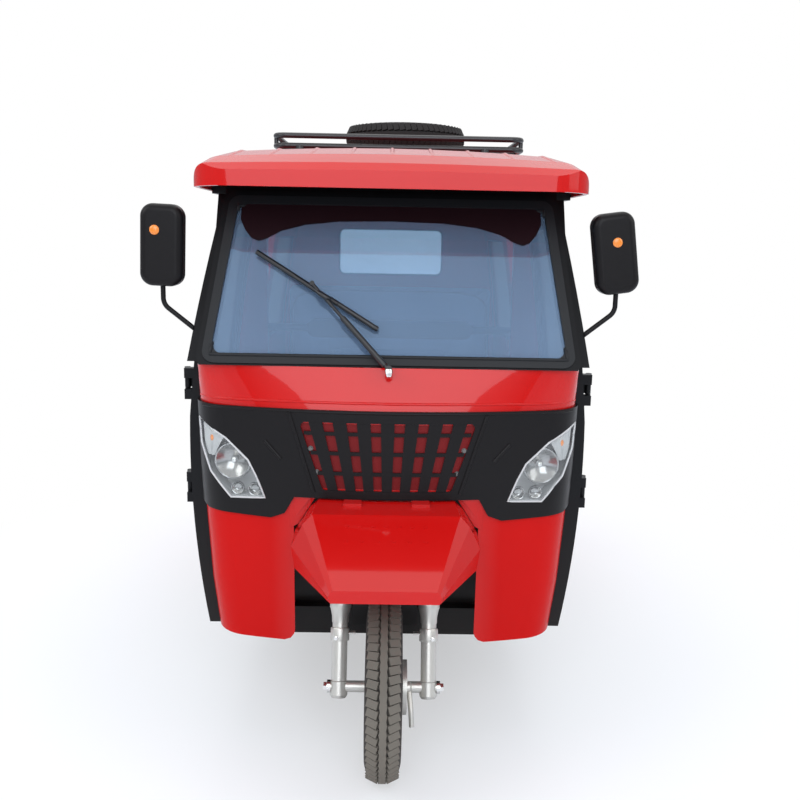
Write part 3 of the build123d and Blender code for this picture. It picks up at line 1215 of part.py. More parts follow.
# Front mudguard: faceted shell over the wheel, open below
def mudguard_form(shrink, drop):
    """Faceted form of the mudguard, drawn in by shrink and opened below by drop."""
    faces = []
    for row, (reach, top, top_z, bevel, bevel_z, wide, wide_z, foot, foot_z) in enumerate(MUDGUARD_ROWS):
        inset = shrink if row == 0 else 0.0
        edge = [(top, top_z - shrink), (bevel - shrink, bevel_z)]
        edge += [(wide - shrink, wide_z), (foot - shrink, foot_z - drop)]
        with BuildSketch(Plane.XZ.offset(-(FRONT_AXLE_Y + reach + inset))) as section:
            with BuildLine():
                Polyline(*edge, *mirrored(edge[::-1], -1), close=True)
            make_face()
        faces.append(section.sketch)
    with BuildPart() as form:
        loft(faces, ruled=True)
    return form.part


# Two tabs hang the mudguard from the chin of the cab front
TAB_IN = 70.0
TAB_OUT = 120.0
TAB_T = 12.0
TAB_FRONT_Y = FRONT_AXLE_Y + 20.0
TAB_REAR_Y = FRONT_AXLE_Y + 90.0
MUDGUARD_OUTER = mudguard_form(0.0, 0.0)
MUDGUARD_INNER = mudguard_form(MUDGUARD_T, 8.0)
with BuildPart() as mudguard:
    add(MUDGUARD_OUTER)
    add(MUDGUARD_INNER, mode=Mode.SUBTRACT)
    for low, high in ((-TAB_OUT, -TAB_IN), (TAB_IN, TAB_OUT)):
        block((low, TAB_FRONT_Y, CHIN_Z - TAB_T), (high, TAB_REAR_Y, CHIN_Z - SEAT_GAP))
keep(mudguard, "front_mudguard")

# Splash guard close over the tyre, carried by tabs on the legs
GUARD_R = 288.0
GUARD_T = 4.0
GUARD_HALF = TYRE_W - SEAT_GAP
with BuildPart() as splash_guard:
    rod((-GUARD_HALF, FRONT_AXLE_Y, TYRE_R), (GUARD_HALF, FRONT_AXLE_Y, TYRE_R), GUARD_R + GUARD_T)
    rod((-GUARD_HALF, FRONT_AXLE_Y, TYRE_R), (GUARD_HALF, FRONT_AXLE_Y, TYRE_R), GUARD_R, mode=Mode.SUBTRACT)
    block((-300, FRONT_AXLE_Y - 400, 0), (300, FRONT_AXLE_Y + 10, 700), mode=Mode.SUBTRACT)
    block((-300, FRONT_AXLE_Y - 400, -100), (300, FRONT_AXLE_Y + 400, TYRE_R + 60), mode=Mode.SUBTRACT)
keep(splash_guard, "splash_guard")
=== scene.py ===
# %% [markdown]
# # A passenger tricycle, dressed over its CAD frame
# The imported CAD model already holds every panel, wheel and seat in its true place.
# This lesson adds what a camera sees and a drawing leaves out: paint, rubber, tread,
# lamp optics, screws and stuffed seats. Everything stays in the CAD frame, in metres.

import json
import math

import bmesh
import bpy
import numpy as np
from mathutils import Matrix, Vector
from mathutils.bvhtree import BVHTree


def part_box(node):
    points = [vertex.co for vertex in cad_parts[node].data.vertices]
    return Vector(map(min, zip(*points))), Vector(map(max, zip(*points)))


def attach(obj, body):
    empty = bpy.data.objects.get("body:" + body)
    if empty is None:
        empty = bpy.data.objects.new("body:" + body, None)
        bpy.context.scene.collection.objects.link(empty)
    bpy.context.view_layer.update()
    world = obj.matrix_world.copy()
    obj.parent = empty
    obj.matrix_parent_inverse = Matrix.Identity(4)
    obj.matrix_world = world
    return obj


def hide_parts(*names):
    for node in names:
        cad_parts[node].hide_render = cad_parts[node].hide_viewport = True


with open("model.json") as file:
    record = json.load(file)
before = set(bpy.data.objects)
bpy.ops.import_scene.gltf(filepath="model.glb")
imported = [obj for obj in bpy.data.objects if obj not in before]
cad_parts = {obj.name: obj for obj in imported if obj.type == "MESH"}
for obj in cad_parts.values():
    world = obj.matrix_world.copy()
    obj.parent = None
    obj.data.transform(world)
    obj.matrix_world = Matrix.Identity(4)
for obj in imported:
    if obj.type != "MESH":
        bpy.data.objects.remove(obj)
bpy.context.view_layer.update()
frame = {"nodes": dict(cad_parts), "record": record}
nodes = frame["nodes"]

# %% [markdown]
# Finishes are written as formulas. A shader graph is a list of sums and products, and clicking
# them together by hand is slow to read back, so one small class wraps a socket and lets Python's
# own operators place the Math nodes. Its `node` method adds any other kind of node.


# %% shader formulas
class Shade:
    """A shader socket that takes part in ordinary sums."""

    def __init__(self, tree, socket):
        self.tree = tree
        self.socket = socket

    def plug(self, value, target):
        if isinstance(value, Shade):
            self.tree.links.new(value.socket, target)
        else:
            target.default_value = value

    def node(self, kind, out=0, inputs=None, **settings):
        made = self.tree.nodes.new(kind)
        for key, value in settings.items():
            setattr(made, key, value)
        for key, value in (inputs or {}).items():
            self.plug(value, made.inputs[key])
        return Shade(self.tree, made.outputs[out])

    def maths(self, operation, first, second):
        return self.node("ShaderNodeMath", inputs={0: first, 1: second}, operation=operation)

    def __add__(self, other):
        return self.maths("ADD", self, other)

    def __sub__(self, other):
        return self.maths("SUBTRACT", self, other)

    def __rsub__(self, other):
        return self.maths("SUBTRACT", other, self)

    def __mul__(self, other):
        return self.maths("MULTIPLY", self, other)

    def __truediv__(self, other):
        return self.maths("DIVIDE", self, other)

    __radd__ = __add__
    __rmul__ = __mul__

    def clamp(self):
        return self.node("ShaderNodeClamp", inputs={0: self})

    def blend(self, low, high):
        """Colour that runs from low to high as this value runs from 0 to 1."""
        return self.node("ShaderNodeMix", 2, {0: self, 6: low, 7: high}, data_type="RGBA")


# %% [markdown]
# Almost every surface on a used vehicle is the same recipe: a base colour that drifts a little,
# a roughness that drifts too, fine grain in the normal, and road dust that thins out with height.
# So one function builds the recipe and a table of numbers makes red enamel, satin black or rubber.


# %% one recipe for opaque finishes
def colour(red, green, blue):
    return (red, green, blue, 1.0)


def start_material(name):
    material = bpy.data.materials.new(name)
    material.use_nodes = True
    tree = material.node_tree
    shader = tree.nodes["Principled BSDF"]
    return material, tree, shader, Shade(tree, tree.nodes.new("ShaderNodeTexCoord").outputs["Object"])


DUST = colour(0.30, 0.24, 0.19)
DUST_TOP = 0.75
CLOUD_SCALE = 3.5
BUMP_HEIGHT = 0.002
# Height and fade of the painted shade on the low outer panels.
SKIRT_SHADE_TOP = 0.95
SKIRT_SHADE_FADE = 0.12


def opaque(name, base, rough, metal=0.0, coat=0.0, grain=400.0, depth=0.02, drift=0.12, dust=0.15,
           gloss=0.5, skirt_shade=0.0):
    """Painted, moulded or bare surface with drift, grain, low road dust and painted shade on low outer
    panels.
    """
    material, tree, shader, place = start_material(name)
    cloud = place.node("ShaderNodeTexNoise", inputs={"Vector": place, "Scale": CLOUD_SCALE, "Detail": 4.0})
    fine = place.node("ShaderNodeTexNoise", inputs={"Vector": place, "Scale": grain, "Detail": 2.0})
    height = place.node("ShaderNodeSeparateXYZ", 2, {0: place})
    low = (1.0 - height / DUST_TOP).clamp() * dust * (cloud + 0.4)
    darker = colour(*(channel * (1.0 - drift) for channel in base))
    tint = cloud.blend(darker, colour(*base))
    fine.plug(low.clamp().blend(tint, DUST), shader.inputs["Base Color"])
    fine.plug((rough + (cloud - 0.5) * 0.12 + low * 0.4).clamp(), shader.inputs["Roughness"])
    bump = place.node("ShaderNodeBump", inputs={"Height": fine, "Strength": depth, "Distance": BUMP_HEIGHT})
    bump.plug(bump, shader.inputs["Normal"])
    shader.inputs["Metallic"].default_value = metal
    shader.inputs["Specular IOR Level"].default_value = gloss
    shader.inputs["Coat Weight"].default_value = coat
    # Painted shade: the coat, and with it the sky reflection, thins on the low outer panels, which darkens
    # the skirts.
    if skirt_shade:
        across = place.node("ShaderNodeSeparateXYZ", 0, {0: place})
        outer = (across * across * 20.0 - 1.2).clamp()
        below = ((SKIRT_SHADE_TOP - height) / SKIRT_SHADE_FADE).clamp()
        fine.plug(coat * (1.0 - outer * below * skirt_shade), shader.inputs["Coat Weight"])
    shader.inputs["Coat Roughness"].default_value = 0.04
    return material


RECIPES = {
    "body_red": dict(base=(0.56, 0.006, 0.005), rough=0.25, coat=0.55, grain=90, depth=0.015, dust=0.0,
                     gloss=0.06, skirt_shade=0.92),
    "black_paint": dict(base=(0.009, 0.009, 0.010), rough=0.34, coat=0.03, dust=0.06, gloss=0.12),
    "black_plastic": dict(base=(0.008, 0.007, 0.0075), rough=0.34, grain=900, depth=0.10, dust=0.03,
                          gloss=0.16),
    "rack_steel": dict(base=(0.010, 0.010, 0.012), rough=0.34, coat=0.2, depth=0.03),
    "seal_rubber": dict(base=(0.010, 0.011, 0.013), rough=0.50, grain=600, depth=0.08, gloss=0.3),
    "lamp_chrome": dict(base=(0.37, 0.365, 0.36), rough=0.18, metal=1.0, depth=0.0, drift=0.05, dust=0.0),
    "lamp_red": dict(base=(0.45, 0.01, 0.01), rough=0.12, coat=0.6, grain=240, depth=0.15, dust=0.1),
    "tyre": dict(base=(0.022, 0.020, 0.019), rough=0.80, grain=500, depth=0.15, dust=0.12, gloss=0.3),
    "tread": dict(base=(0.165, 0.150, 0.125), rough=0.85, grain=260, depth=0.25, drift=0.35, dust=0.2,
                  gloss=0.2),
    "rim_steel": dict(base=(0.50, 0.50, 0.49), rough=0.38, metal=0.6, coat=0.2, depth=0.04, dust=0.35),
    "fork_silver": dict(base=(0.62, 0.61, 0.57), rough=0.36, metal=0.75, grain=300, depth=0.05, dust=0.12),
    "cast_metal": dict(base=(0.16, 0.155, 0.15), rough=0.62, metal=0.5, grain=160, depth=0.3, dust=0.6),
    "amber": dict(base=(0.85, 0.24, 0.02), rough=0.15, coat=0.5, grain=300, depth=0.2, dust=0.0),
    "lamp_bowl": dict(base=(0.56, 0.55, 0.54), rough=0.32, metal=0.1, depth=0.0, drift=0.05, dust=0.0),
    "frosted": dict(base=(0.50, 0.49, 0.475), rough=0.20, coat=0.4, grain=260, depth=0.2, dust=0.05),
    "plate": dict(base=(0.68, 0.67, 0.62), rough=0.35, coat=0.2, depth=0.03, dust=0.1),
    "piping": dict(base=(0.035, 0.055, 0.085), rough=0.45, grain=500, depth=0.1, dust=0.0),
    "bright": dict(base=(0.82, 0.82, 0.80), rough=0.18, metal=1.0, dust=0.1),
    "mirror": dict(base=(0.90, 0.91, 0.92), rough=0.03, metal=1.0, depth=0.0, drift=0.03, dust=0.0),
    "grille_shade": dict(base=(0.20, 0.006, 0.007), rough=0.5, drift=0.5, dust=0.0, gloss=0.2),
    # Painted shade: near-black lining under the roof and the peak.
    "painted_shade_lining": dict(base=(0.030, 0.024, 0.026), rough=0.8, grain=500, depth=0.15, dust=0.0, gloss=0.2),
    # Painted shade: dark band on the windscreen for the shaded roof hoop behind it.
    "painted_shade_band": dict(base=(0.016, 0.006, 0.008), rough=0.30, dust=0.0, gloss=0.1),
}
finishes = {name: opaque(name, **recipe) for name, recipe in RECIPES.items()}
print("opaque finishes", len(finishes))

# %% [markdown]
# Window glass on a parked vehicle shows three things at once: the cabin, a faint blue tint and a veil of
# sky.
# True refraction would stop the sun from reaching the seats, so the pane is a mix of a tinted transparent
# shader and a partly mirror-like one whose sky-blue colour is a painted reflection, and light simply passes
# through.


# %% glass
def clear(name, tint, painted_sky_tint, share, mirror_share=1.0):
    """Thin pane: mostly see-through, with a share that mirrors and carries a painted sky reflection colour.
    """
    material, tree, shader, place = start_material(name)
    # Painted reflection: the reflecting share takes this sky colour, which shows as a lit film where the
    # pane is not fully metallic.
    shader.inputs["Base Color"].default_value = colour(*painted_sky_tint)
    shader.inputs["Metallic"].default_value = mirror_share
    smear = place.node("ShaderNodeTexNoise", inputs={"Vector": place, "Scale": 2.2, "Detail": 3.0})
    smear.plug(0.02 + smear * 0.05, shader.inputs["Roughness"])
    through = tree.nodes.new("ShaderNodeBsdfTransparent")
    through.inputs["Color"].default_value = colour(*tint)
    join = tree.nodes.new("ShaderNodeMixShader")
    smear.plug((share + (smear - 0.5) * 0.10).clamp(), join.inputs[0])
    tree.links.new(through.outputs[0], join.inputs[1])
    tree.links.new(shader.outputs[0], join.inputs[2])
    tree.links.new(join.outputs[0], tree.nodes["Material Output"].inputs["Surface"])
    return material


PANES_OF_GLASS = {
    "glass": dict(tint=(0.66, 0.78, 0.88), painted_sky_tint=(0.36, 0.50, 0.70), share=0.30, mirror_share=0.40),
    "rear_clear": dict(tint=(0.93, 0.97, 1.0), painted_sky_tint=(0.60, 0.72, 0.85), share=0.15),
    "smoked": dict(tint=(0.40, 0.42, 0.42), painted_sky_tint=(0.45, 0.50, 0.55), share=0.25),
    "lens_clear": dict(tint=(0.97, 0.98, 0.98), painted_sky_tint=(0.95, 0.96, 0.97), share=0.04),
}
for name, recipe in PANES_OF_GLASS.items():
    finishes[name] = clear(name, **recipe)
print("panes", list(PANES_OF_GLASS))

# %% [markdown]
# Seat covers are coated cloth. A weave is two sets of threads that cross, so two wave textures
# that run across each other make the bump, and a slow noise makes the cover look sat upon.

# %% seat cloth
material, tree, shader, place = start_material("seat_cover")
warp = place.node("ShaderNodeTexWave", inputs={"Vector": place, "Scale": 130.0}, bands_direction="X")
weft = place.node("ShaderNodeTexWave", inputs={"Vector": place, "Scale": 130.0}, bands_direction="DIAGONAL")
wear = place.node("ShaderNodeTexNoise", inputs={"Vector": place, "Scale": 6.0, "Detail": 5.0})
place.plug(wear.blend(colour(0.075, 0.125, 0.20), colour(0.13, 0.20, 0.29)), shader.inputs["Base Color"])
place.plug((0.50 + wear * 0.15).clamp(), shader.inputs["Roughness"])
weave = place.node("ShaderNodeBump", inputs={"Height": warp * weft, "Strength": 0.15, "Distance": 0.001})
place.plug(weave, shader.inputs["Normal"])
finishes["seat_cover"] = material
print("all finishes", sorted(finishes))

# %% [markdown]
# The record names a material slot for each CAD node, so the nodes are painted from that list and
# nothing is left in the importer's grey.

# %% paint the CAD nodes
slot_of = {row["node"]: row["material_slot"] for row in frame["record"]["subparts"]}
for name, obj in nodes.items():
    obj.data.materials.clear()
    smoky = name.startswith(("door_window", "quarter"))
    own = {"headlamp_bowls": "lamp_bowl", "rear_window": "rear_clear"}.get(name, slot_of[name])
    obj.data.materials.append(finishes["smoked" if smoky else own])
print("painted", len(nodes), "nodes in", len(set(slot_of.values())), "slots")

# %% [markdown]
# Camera, light and floor come next, so that each later piece can be judged in the same picture.
# The photograph was taken at eye height, about three and a half metres ahead of the vehicle's middle,
# so the camera stands there, tilted down eleven degrees and leaning one degree.

# %% camera
CAMERA_AT = (0.0, -3.520, 1.546)
CAMERA_TILT = 10.76
CAMERA_PAN = 0.76
CAMERA_ROLL = 1.1
camera_data = bpy.data.cameras.new("camera")
camera_data.sensor_width = 36.0
camera_data.lens = 40.5
camera = bpy.data.objects.new("camera", camera_data)
bpy.context.scene.collection.objects.link(camera)
turn = Matrix.Rotation(math.radians(-CAMERA_PAN), 4, "Z")
turn = turn @ Matrix.Rotation(math.radians(90.0 - CAMERA_TILT), 4, "X")
turn = turn @ Matrix.Rotation(math.radians(CAMERA_ROLL), 4, "Z")
camera.matrix_world = Matrix.Translation(CAMERA_AT) @ turn
bpy.context.scene.camera = camera
print("camera at", CAMERA_AT)

# %% [markdown]
# An overcast sky is one huge soft lamp: bright overhead, a little blue, duller near the ground.
# The picture's background is white, so rays from the camera, through glass and up from gloss see
# white, and the soft light itself comes from the graded sky and five broad lamps.

# %% sky and lamps
world = bpy.data.worlds.new("sky")
bpy.context.scene.world = world
world.use_nodes = True
tree = world.node_tree
back = tree.nodes["Background"]
ray = Shade(tree, tree.nodes.new("ShaderNodeTexCoord").outputs["Generated"])
rise = ray.node("ShaderNodeSeparateXYZ", 2, {0: ray})
up = (rise * 2.2 + 0.05).clamp()
sky = up.blend(colour(0.24, 0.24, 0.25), colour(0.78, 0.85, 0.97))
paths = tree.nodes.new("ShaderNodeLightPath")
seen = Shade(tree, paths.outputs["Is Camera Ray"]) + Shade(tree, paths.outputs["Is Transmission Ray"])
seen = (seen + Shade(tree, paths.outputs["Is Glossy Ray"]) * up).clamp()
ray.plug(seen.blend(sky, colour(1.0, 1.0, 1.0)), back.inputs["Color"])
back.inputs["Strength"].default_value = 1.0
LAMPS = (
    ("key", (-3.8, -2.6, 3.6), (0.0, -0.6, 0.8), 2.6, 50.0),
    ("fill", (3.8, -2.4, 3.0), (0.0, -0.4, 0.9), 2.6, 30.0),
    ("sky_card", (0.0, -7.0, 3.7), (0.0, -1.0, 1.0), 4.6, 200.0),
    ("top", (0.0, 0.4, 5.2), (0.0, 0.2, 1.2), 4.5, 65.0),
    ("back", (0.0, 4.6, 3.4), (0.0, 0.6, 0.9), 3.0, 60.0),
)
for name, at, aim, size, watts in LAMPS:
    lamp = bpy.data.lights.new(name, "AREA")
    lamp.size = size
    lamp.color = (0.88, 0.93, 1.0) if name == "sky_card" else (1.0, 1.0, 1.0)
    lamp.energy = watts
    holder = bpy.data.objects.new(name, lamp)
    bpy.context.scene.collection.objects.link(holder)
    holder.location = at
    holder.visible_glossy = name != "back"
    holder.rotation_euler = (Vector(aim) - Vector(at)).to_track_quat("-Z", "Y").to_euler()
bpy.context.scene.view_settings.view_transform = "Standard"
print("lamps", len(LAMPS))

# %% [markdown]
# A white floor that simply ends would draw a line across the picture. Near the wheels it is matt
# and takes the shadow, and further out it turns by distance into plain white, like the sky behind.

# %% floor
bpy.ops.mesh.primitive_plane_add(size=60.0)
floor = bpy.context.object
floor.name = "floor"
material, tree, shader, place = start_material("ground")
shader.inputs["Base Color"].default_value = colour(0.90, 0.90, 0.90)
shader.inputs["Roughness"].default_value = 1.0
shader.inputs["Specular IOR Level"].default_value = 0.0
away = place.node("ShaderNodeVectorMath", 1, {0: place}, operation="LENGTH")
white = tree.nodes.new("ShaderNodeEmission")
join = tree.nodes.new("ShaderNodeMixShader")
paths = tree.nodes.new("ShaderNodeLightPath")
direct = Shade(tree, paths.outputs["Is Camera Ray"]) + Shade(tree, paths.outputs["Is Transmission Ray"])
seen = (direct + Shade(tree, paths.outputs["Is Glossy Ray"]) * 0.15).clamp()
place.plug((((away - 1.3) / 1.6).clamp() + 0.45).clamp() * seen, join.inputs[0])
tree.links.new(shader.outputs[0], join.inputs[1])
tree.links.new(white.outputs[0], join.inputs[2])
tree.links.new(join.outputs[0], tree.nodes["Material Output"].inputs["Surface"])
floor.data.materials.append(material)
print("floor", floor.name)

# %% [markdown]
# From here on, pieces are added. Each one is a mesh in the CAD frame, painted and told which body it rides
# on;
# the slot it is given only picks its paint when no other finish is. One helper does that for shapes made in
# mesh code, a second turns a profile about an axis, as a lathe would, and the rest find where a line
# of sight meets a CAD panel, so that trim always sits on the sheet that carries it.


# %% pieces and lathe work
def settle(name, mesh, body, slot, finish=None, stands_for=()):
    """Make a painted object of a mesh and let it ride on a body."""
    mesh.materials.clear()
    mesh.materials.append(finishes[finish or slot])
    obj = bpy.data.objects.new(name, mesh)
    bpy.context.scene.collection.objects.link(obj)
    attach(obj, body)
    if stands_for:
        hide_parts(*stands_for)
    return obj


SHEET = 0.0008


def piece(name, form, body, slot, finish=None, stands_for=(), sharp=40.0, sheet=0.0):
    """Give an open sheet its thickness, point the faces outwards and settle the form."""
    bmesh.ops.remove_doubles(form, verts=form.verts, dist=1e-6)
    bmesh.ops.recalc_face_normals(form, faces=form.faces)
    if sheet:
        bmesh.ops.solidify(form, geom=form.faces[:], thickness=sheet)
        bmesh.ops.recalc_face_normals(form, faces=form.faces)
    mesh = bpy.data.meshes.new(name)
    form.to_mesh(mesh)
    form.free()
    mesh.shade_smooth()
    mesh.set_sharp_from_angle(angle=math.radians(sharp))
    print(name, "faces", len(mesh.polygons))
    return settle(name, mesh, body, slot, finish, stands_for)


def lathe(form, profile, at, axis, steps=48, closed=False):
    """Turn (radius, along) points about an axis through a point."""
    turn = Vector((0, 0, 1)).rotation_difference(Vector(axis)).to_matrix()
    rings = []
    for radius, along in profile:
        count = steps if radius > 1e-6 else 1
        ring = []
        for k in range(count):
            angle = math.tau * k / steps
            spoke = Vector((radius * math.cos(angle), radius * math.sin(angle), along))
            ring.append(form.verts.new(Vector(at) + turn @ spoke))
        rings.append(ring)
    pairs = list(zip(rings, rings[1:])) + ([(rings[-1], rings[0])] if closed else [])
    for low, high in pairs:
        for k in range(steps):
            j = (k + 1) % steps
            ring = [low[k % len(low)], low[j % len(low)], high[j % len(high)], high[k % len(high)]]
            corners = list(dict.fromkeys(ring))
            if len(corners) > 2:
                form.faces.new(corners)


def skin(*names):
    """Search tree over the faces of CAD nodes, to find where a piece touches them."""
    corners = []
    faces = []
    for name in names:
        mesh = nodes[name].data
        base = len(corners)
        corners += [vertex.co.copy() for vertex in mesh.vertices]
        faces += [[base + k for k in face.vertices] for face in mesh.polygons]
    return BVHTree.FromPolygons(corners, faces)


def land(tree, start, aim):
    """Point and normal where a ray first meets the skin."""
    at, normal, _, _ = tree.ray_cast(Vector(start), Vector(aim))
    if normal is not None and normal.dot(Vector(aim)) > 0:
        normal = -normal
    return at, normal


FAR = 2.0
REARWARD = Vector((0, 1, 0))
FORWARD = Vector((0, -1, 0))
DOWN = Vector((0, 0, -1))
BOTH = (-1, 1)
SIDES = ((-1, "left"), (1, "right"))


def from_front(surface, x, z):
    """Point and normal that someone ahead of the vehicle sees at a width and height."""
    return land(surface, (x, -FAR, z), REARWARD)


def rounded(power, count):
    """Points round a unit square with soft corners, as (across, up) pairs."""
    for k in range(count):
        angle = math.tau * k / count
        yield tuple(math.copysign(abs(wave) ** power, wave) for wave in (math.cos(angle), math.sin(angle)))


# %% [markdown]
# Geometry Nodes make everything that repeats or follows a line. A tree is built once from code,
# given named inputs, and then run on small base meshes: points for screws, polylines for beads.


# %% node trees from code
def new_tree(name, inputs):
    """Empty tree with a geometry input, named inputs and one output."""
    tree = bpy.data.node_groups.new(name, "GeometryNodeTree")
    tree.interface.new_socket("Geometry", in_out="INPUT", socket_type="NodeSocketGeometry")
    for label, kind, value in inputs:
        socket = tree.interface.new_socket(label, in_out="INPUT", socket_type=kind)
        if value is not None:
            socket.default_value = value
    tree.interface.new_socket("Geometry", in_out="OUTPUT", socket_type="NodeSocketGeometry")
    enter = tree.nodes.new("NodeGroupInput")
    leave = tree.nodes.new("NodeGroupOutput")
    return tree, enter.outputs, leave.inputs


def grow(tree, kind, inputs, out=0, **settings):
    """Add a node, set its options and sockets, and give one of its outputs."""
    made = tree.nodes.new(kind)
    for key, value in settings.items():
        setattr(made, key, value)
    for key, value in inputs.items():
        if isinstance(value, bpy.types.NodeSocket):
            tree.links.new(value, made.inputs[key])
        else:
            made.inputs[key].default_value = value
    return made.outputs[out]


def close_tree(tree, geometry, enter, leave):
    """Make instances real, paint them and hand them to the tree's output."""
    real = grow(tree, GN + "RealizeInstances", {"Geometry": geometry})
    painted = grow(tree, GN + "SetMaterial", {"Geometry": real, "Material": enter["Material"]})
    tree.links.new(painted, leave["Geometry"])


def sweep_round(tree, line, sides, radius):
    """Sweep a circle along a curve."""
    section = grow(tree, GN + "CurvePrimitiveCircle", {"Resolution": sides, "Radius": radius})
    return grow(tree, GN + "CurveToMesh", {"Curve": line, "Profile Curve": section, "Fill Caps": True})


def run_tree(tree, base, values):
    """Run a tree on a base mesh and give the result as a plain mesh."""
    obj = bpy.data.objects.new("bench", base)
    bpy.context.scene.collection.objects.link(obj)
    modifier = obj.modifiers.new("grow", "NODES")
    modifier.node_group = tree
    for item in tree.interface.items_tree:
        if item.in_out == "INPUT" and item.name in values:
            modifier[item.identifier] = values[item.name]
    graph = bpy.context.evaluated_depsgraph_get()
    mesh = bpy.data.meshes.new_from_object(obj.evaluated_get(graph))
    obj.modifiers.remove(modifier)
    bpy.data.objects.remove(obj)
    return mesh


FLOAT = "NodeSocketFloat"
WHOLE = "NodeSocketInt"
ARROW = "NodeSocketVector"
STUFF = "NodeSocketMaterial"
GN = "GeometryNode"
print("node helpers ready")

# %% [markdown]
# A small road tyre has a smooth zigzag rib in the middle and a row of lug blocks on each shoulder.
# The carcass is a lathe profile. The lugs are one slanted block, tilted to lie on the round
# shoulder and set round a circle, so a tree makes a row and two rows make a tread.

# %% tread tree
tread_tree, enter, leave = new_tree("lug_row", [
    ("Count", WHOLE, 64), ("Radius", FLOAT, 0.25), ("Across", FLOAT, 0.03), ("Camber", FLOAT, 0.5),
    ("Slant", FLOAT, 0.1), ("Lug", ARROW, (0.02, 0.01, 0.01)), ("Phase", FLOAT, 0.0),
    ("Spin", ARROW, (0.0, 0.0, 0.0)), ("Centre", ARROW, (0.0, 0.0, 0.0)), ("Material", STUFF, None)])
lug = grow(tread_tree, GN + "MeshCube", {"Size": (2.0, 2.0, 1.0)})
lug = grow(tread_tree, GN + "Transform", {"Geometry": lug, "Scale": enter["Lug"],
                                          "Rotation": (0, math.pi / 2, 0)})
lean = grow(tread_tree, "ShaderNodeCombineXYZ", {"X": enter["Slant"], "Y": enter["Camber"]})
reach = grow(tread_tree, "ShaderNodeCombineXYZ", {"Z": enter["Across"]})
lug = grow(tread_tree, GN + "Transform", {"Geometry": lug, "Rotation": lean, "Translation": reach})
ring = grow(tread_tree, GN + "MeshCircle", {"Vertices": enter["Count"], "Radius": enter["Radius"]})
pitch = grow(tread_tree, "ShaderNodeMath", {0: math.tau, 1: enter["Count"]}, operation="DIVIDE")
early = grow(tread_tree, "ShaderNodeMath", {0: pitch, 1: enter["Phase"]}, operation="MULTIPLY")
early_turn = grow(tread_tree, "ShaderNodeCombineXYZ", {"Z": early})
ring = grow(tread_tree, GN + "Transform", {"Geometry": ring, "Rotation": early_turn})
index = grow(tread_tree, GN + "InputIndex", {})
angle = grow(tread_tree, "ShaderNodeMath", {0: index, 1: pitch, 2: early}, operation="MULTIPLY_ADD")
facing = grow(tread_tree, "ShaderNodeCombineXYZ", {"Z": angle})
row = grow(tread_tree, GN + "InstanceOnPoints", {"Points": ring, "Instance": lug, "Rotation": facing})
row = grow(tread_tree, GN + "RealizeInstances", {"Geometry": row})
row = grow(tread_tree, GN + "Transform", {"Geometry": row, "Rotation": enter["Spin"],
                                          "Translation": enter["Centre"]})
close_tree(tread_tree, row, enter, leave)
print("tread tree nodes", len(tread_tree.nodes))

# %% [markdown]
# The road wheels and the spare are the same tyre, so one loop makes all four. Each carcass stands
# for its CAD ring, and the tread is a second piece, because on the road wheels it is worn and dusty.

# %% tyres
WHEELS = (
    ("front", "front_tyre", "front_wheel", 0),
    ("rear_left", "rear_tyre_left", "rear_wheel_left", 0),
    ("rear_right", "rear_tyre_right", "rear_wheel_right", 0),
    ("spare", "spare_tyre", "body", 2),
)
AXES = ((1, 0, 0), (0, 1, 0), (0, 0, 1))
BEAD_SHARE = 0.597
LUGS = 64
RIB_HALF = 0.0095
RIB_EASE = 0.0004
RIB_WAVE = 0.0012
LUG_DEPTH = 0.0075
LUG_SIZE = (0.0160, 0.0106, 0.0085)
LUG_SLANT = 0.26
LUG_SINK = 0.0047
LUG_MIDDLE, LUG_INNER, LUG_OUTER = 0.56, 0.24, 0.84
CROWN_DROP, CROWN_SHARE = 0.016, 0.86
SHOULDER = ((-0.0265, 0.84), (-0.036, 0.925), (-0.040, 0.930), (-0.043, 0.965))
SIDE_WALL = ((0.052, 0.997), (0.047, 0.997), (0.045, 0.985), (0.030, 0.915), (0.018, 0.83), (0.014, 0.80),
             (0.010, 0.78), (0.004, 0.70), (0.0, 0.62))


def crown(outer, half, across):
    """Radius of the tread surface at a distance across from the middle."""
    return outer - CROWN_DROP * (across / (CROWN_SHARE * half)) ** 2


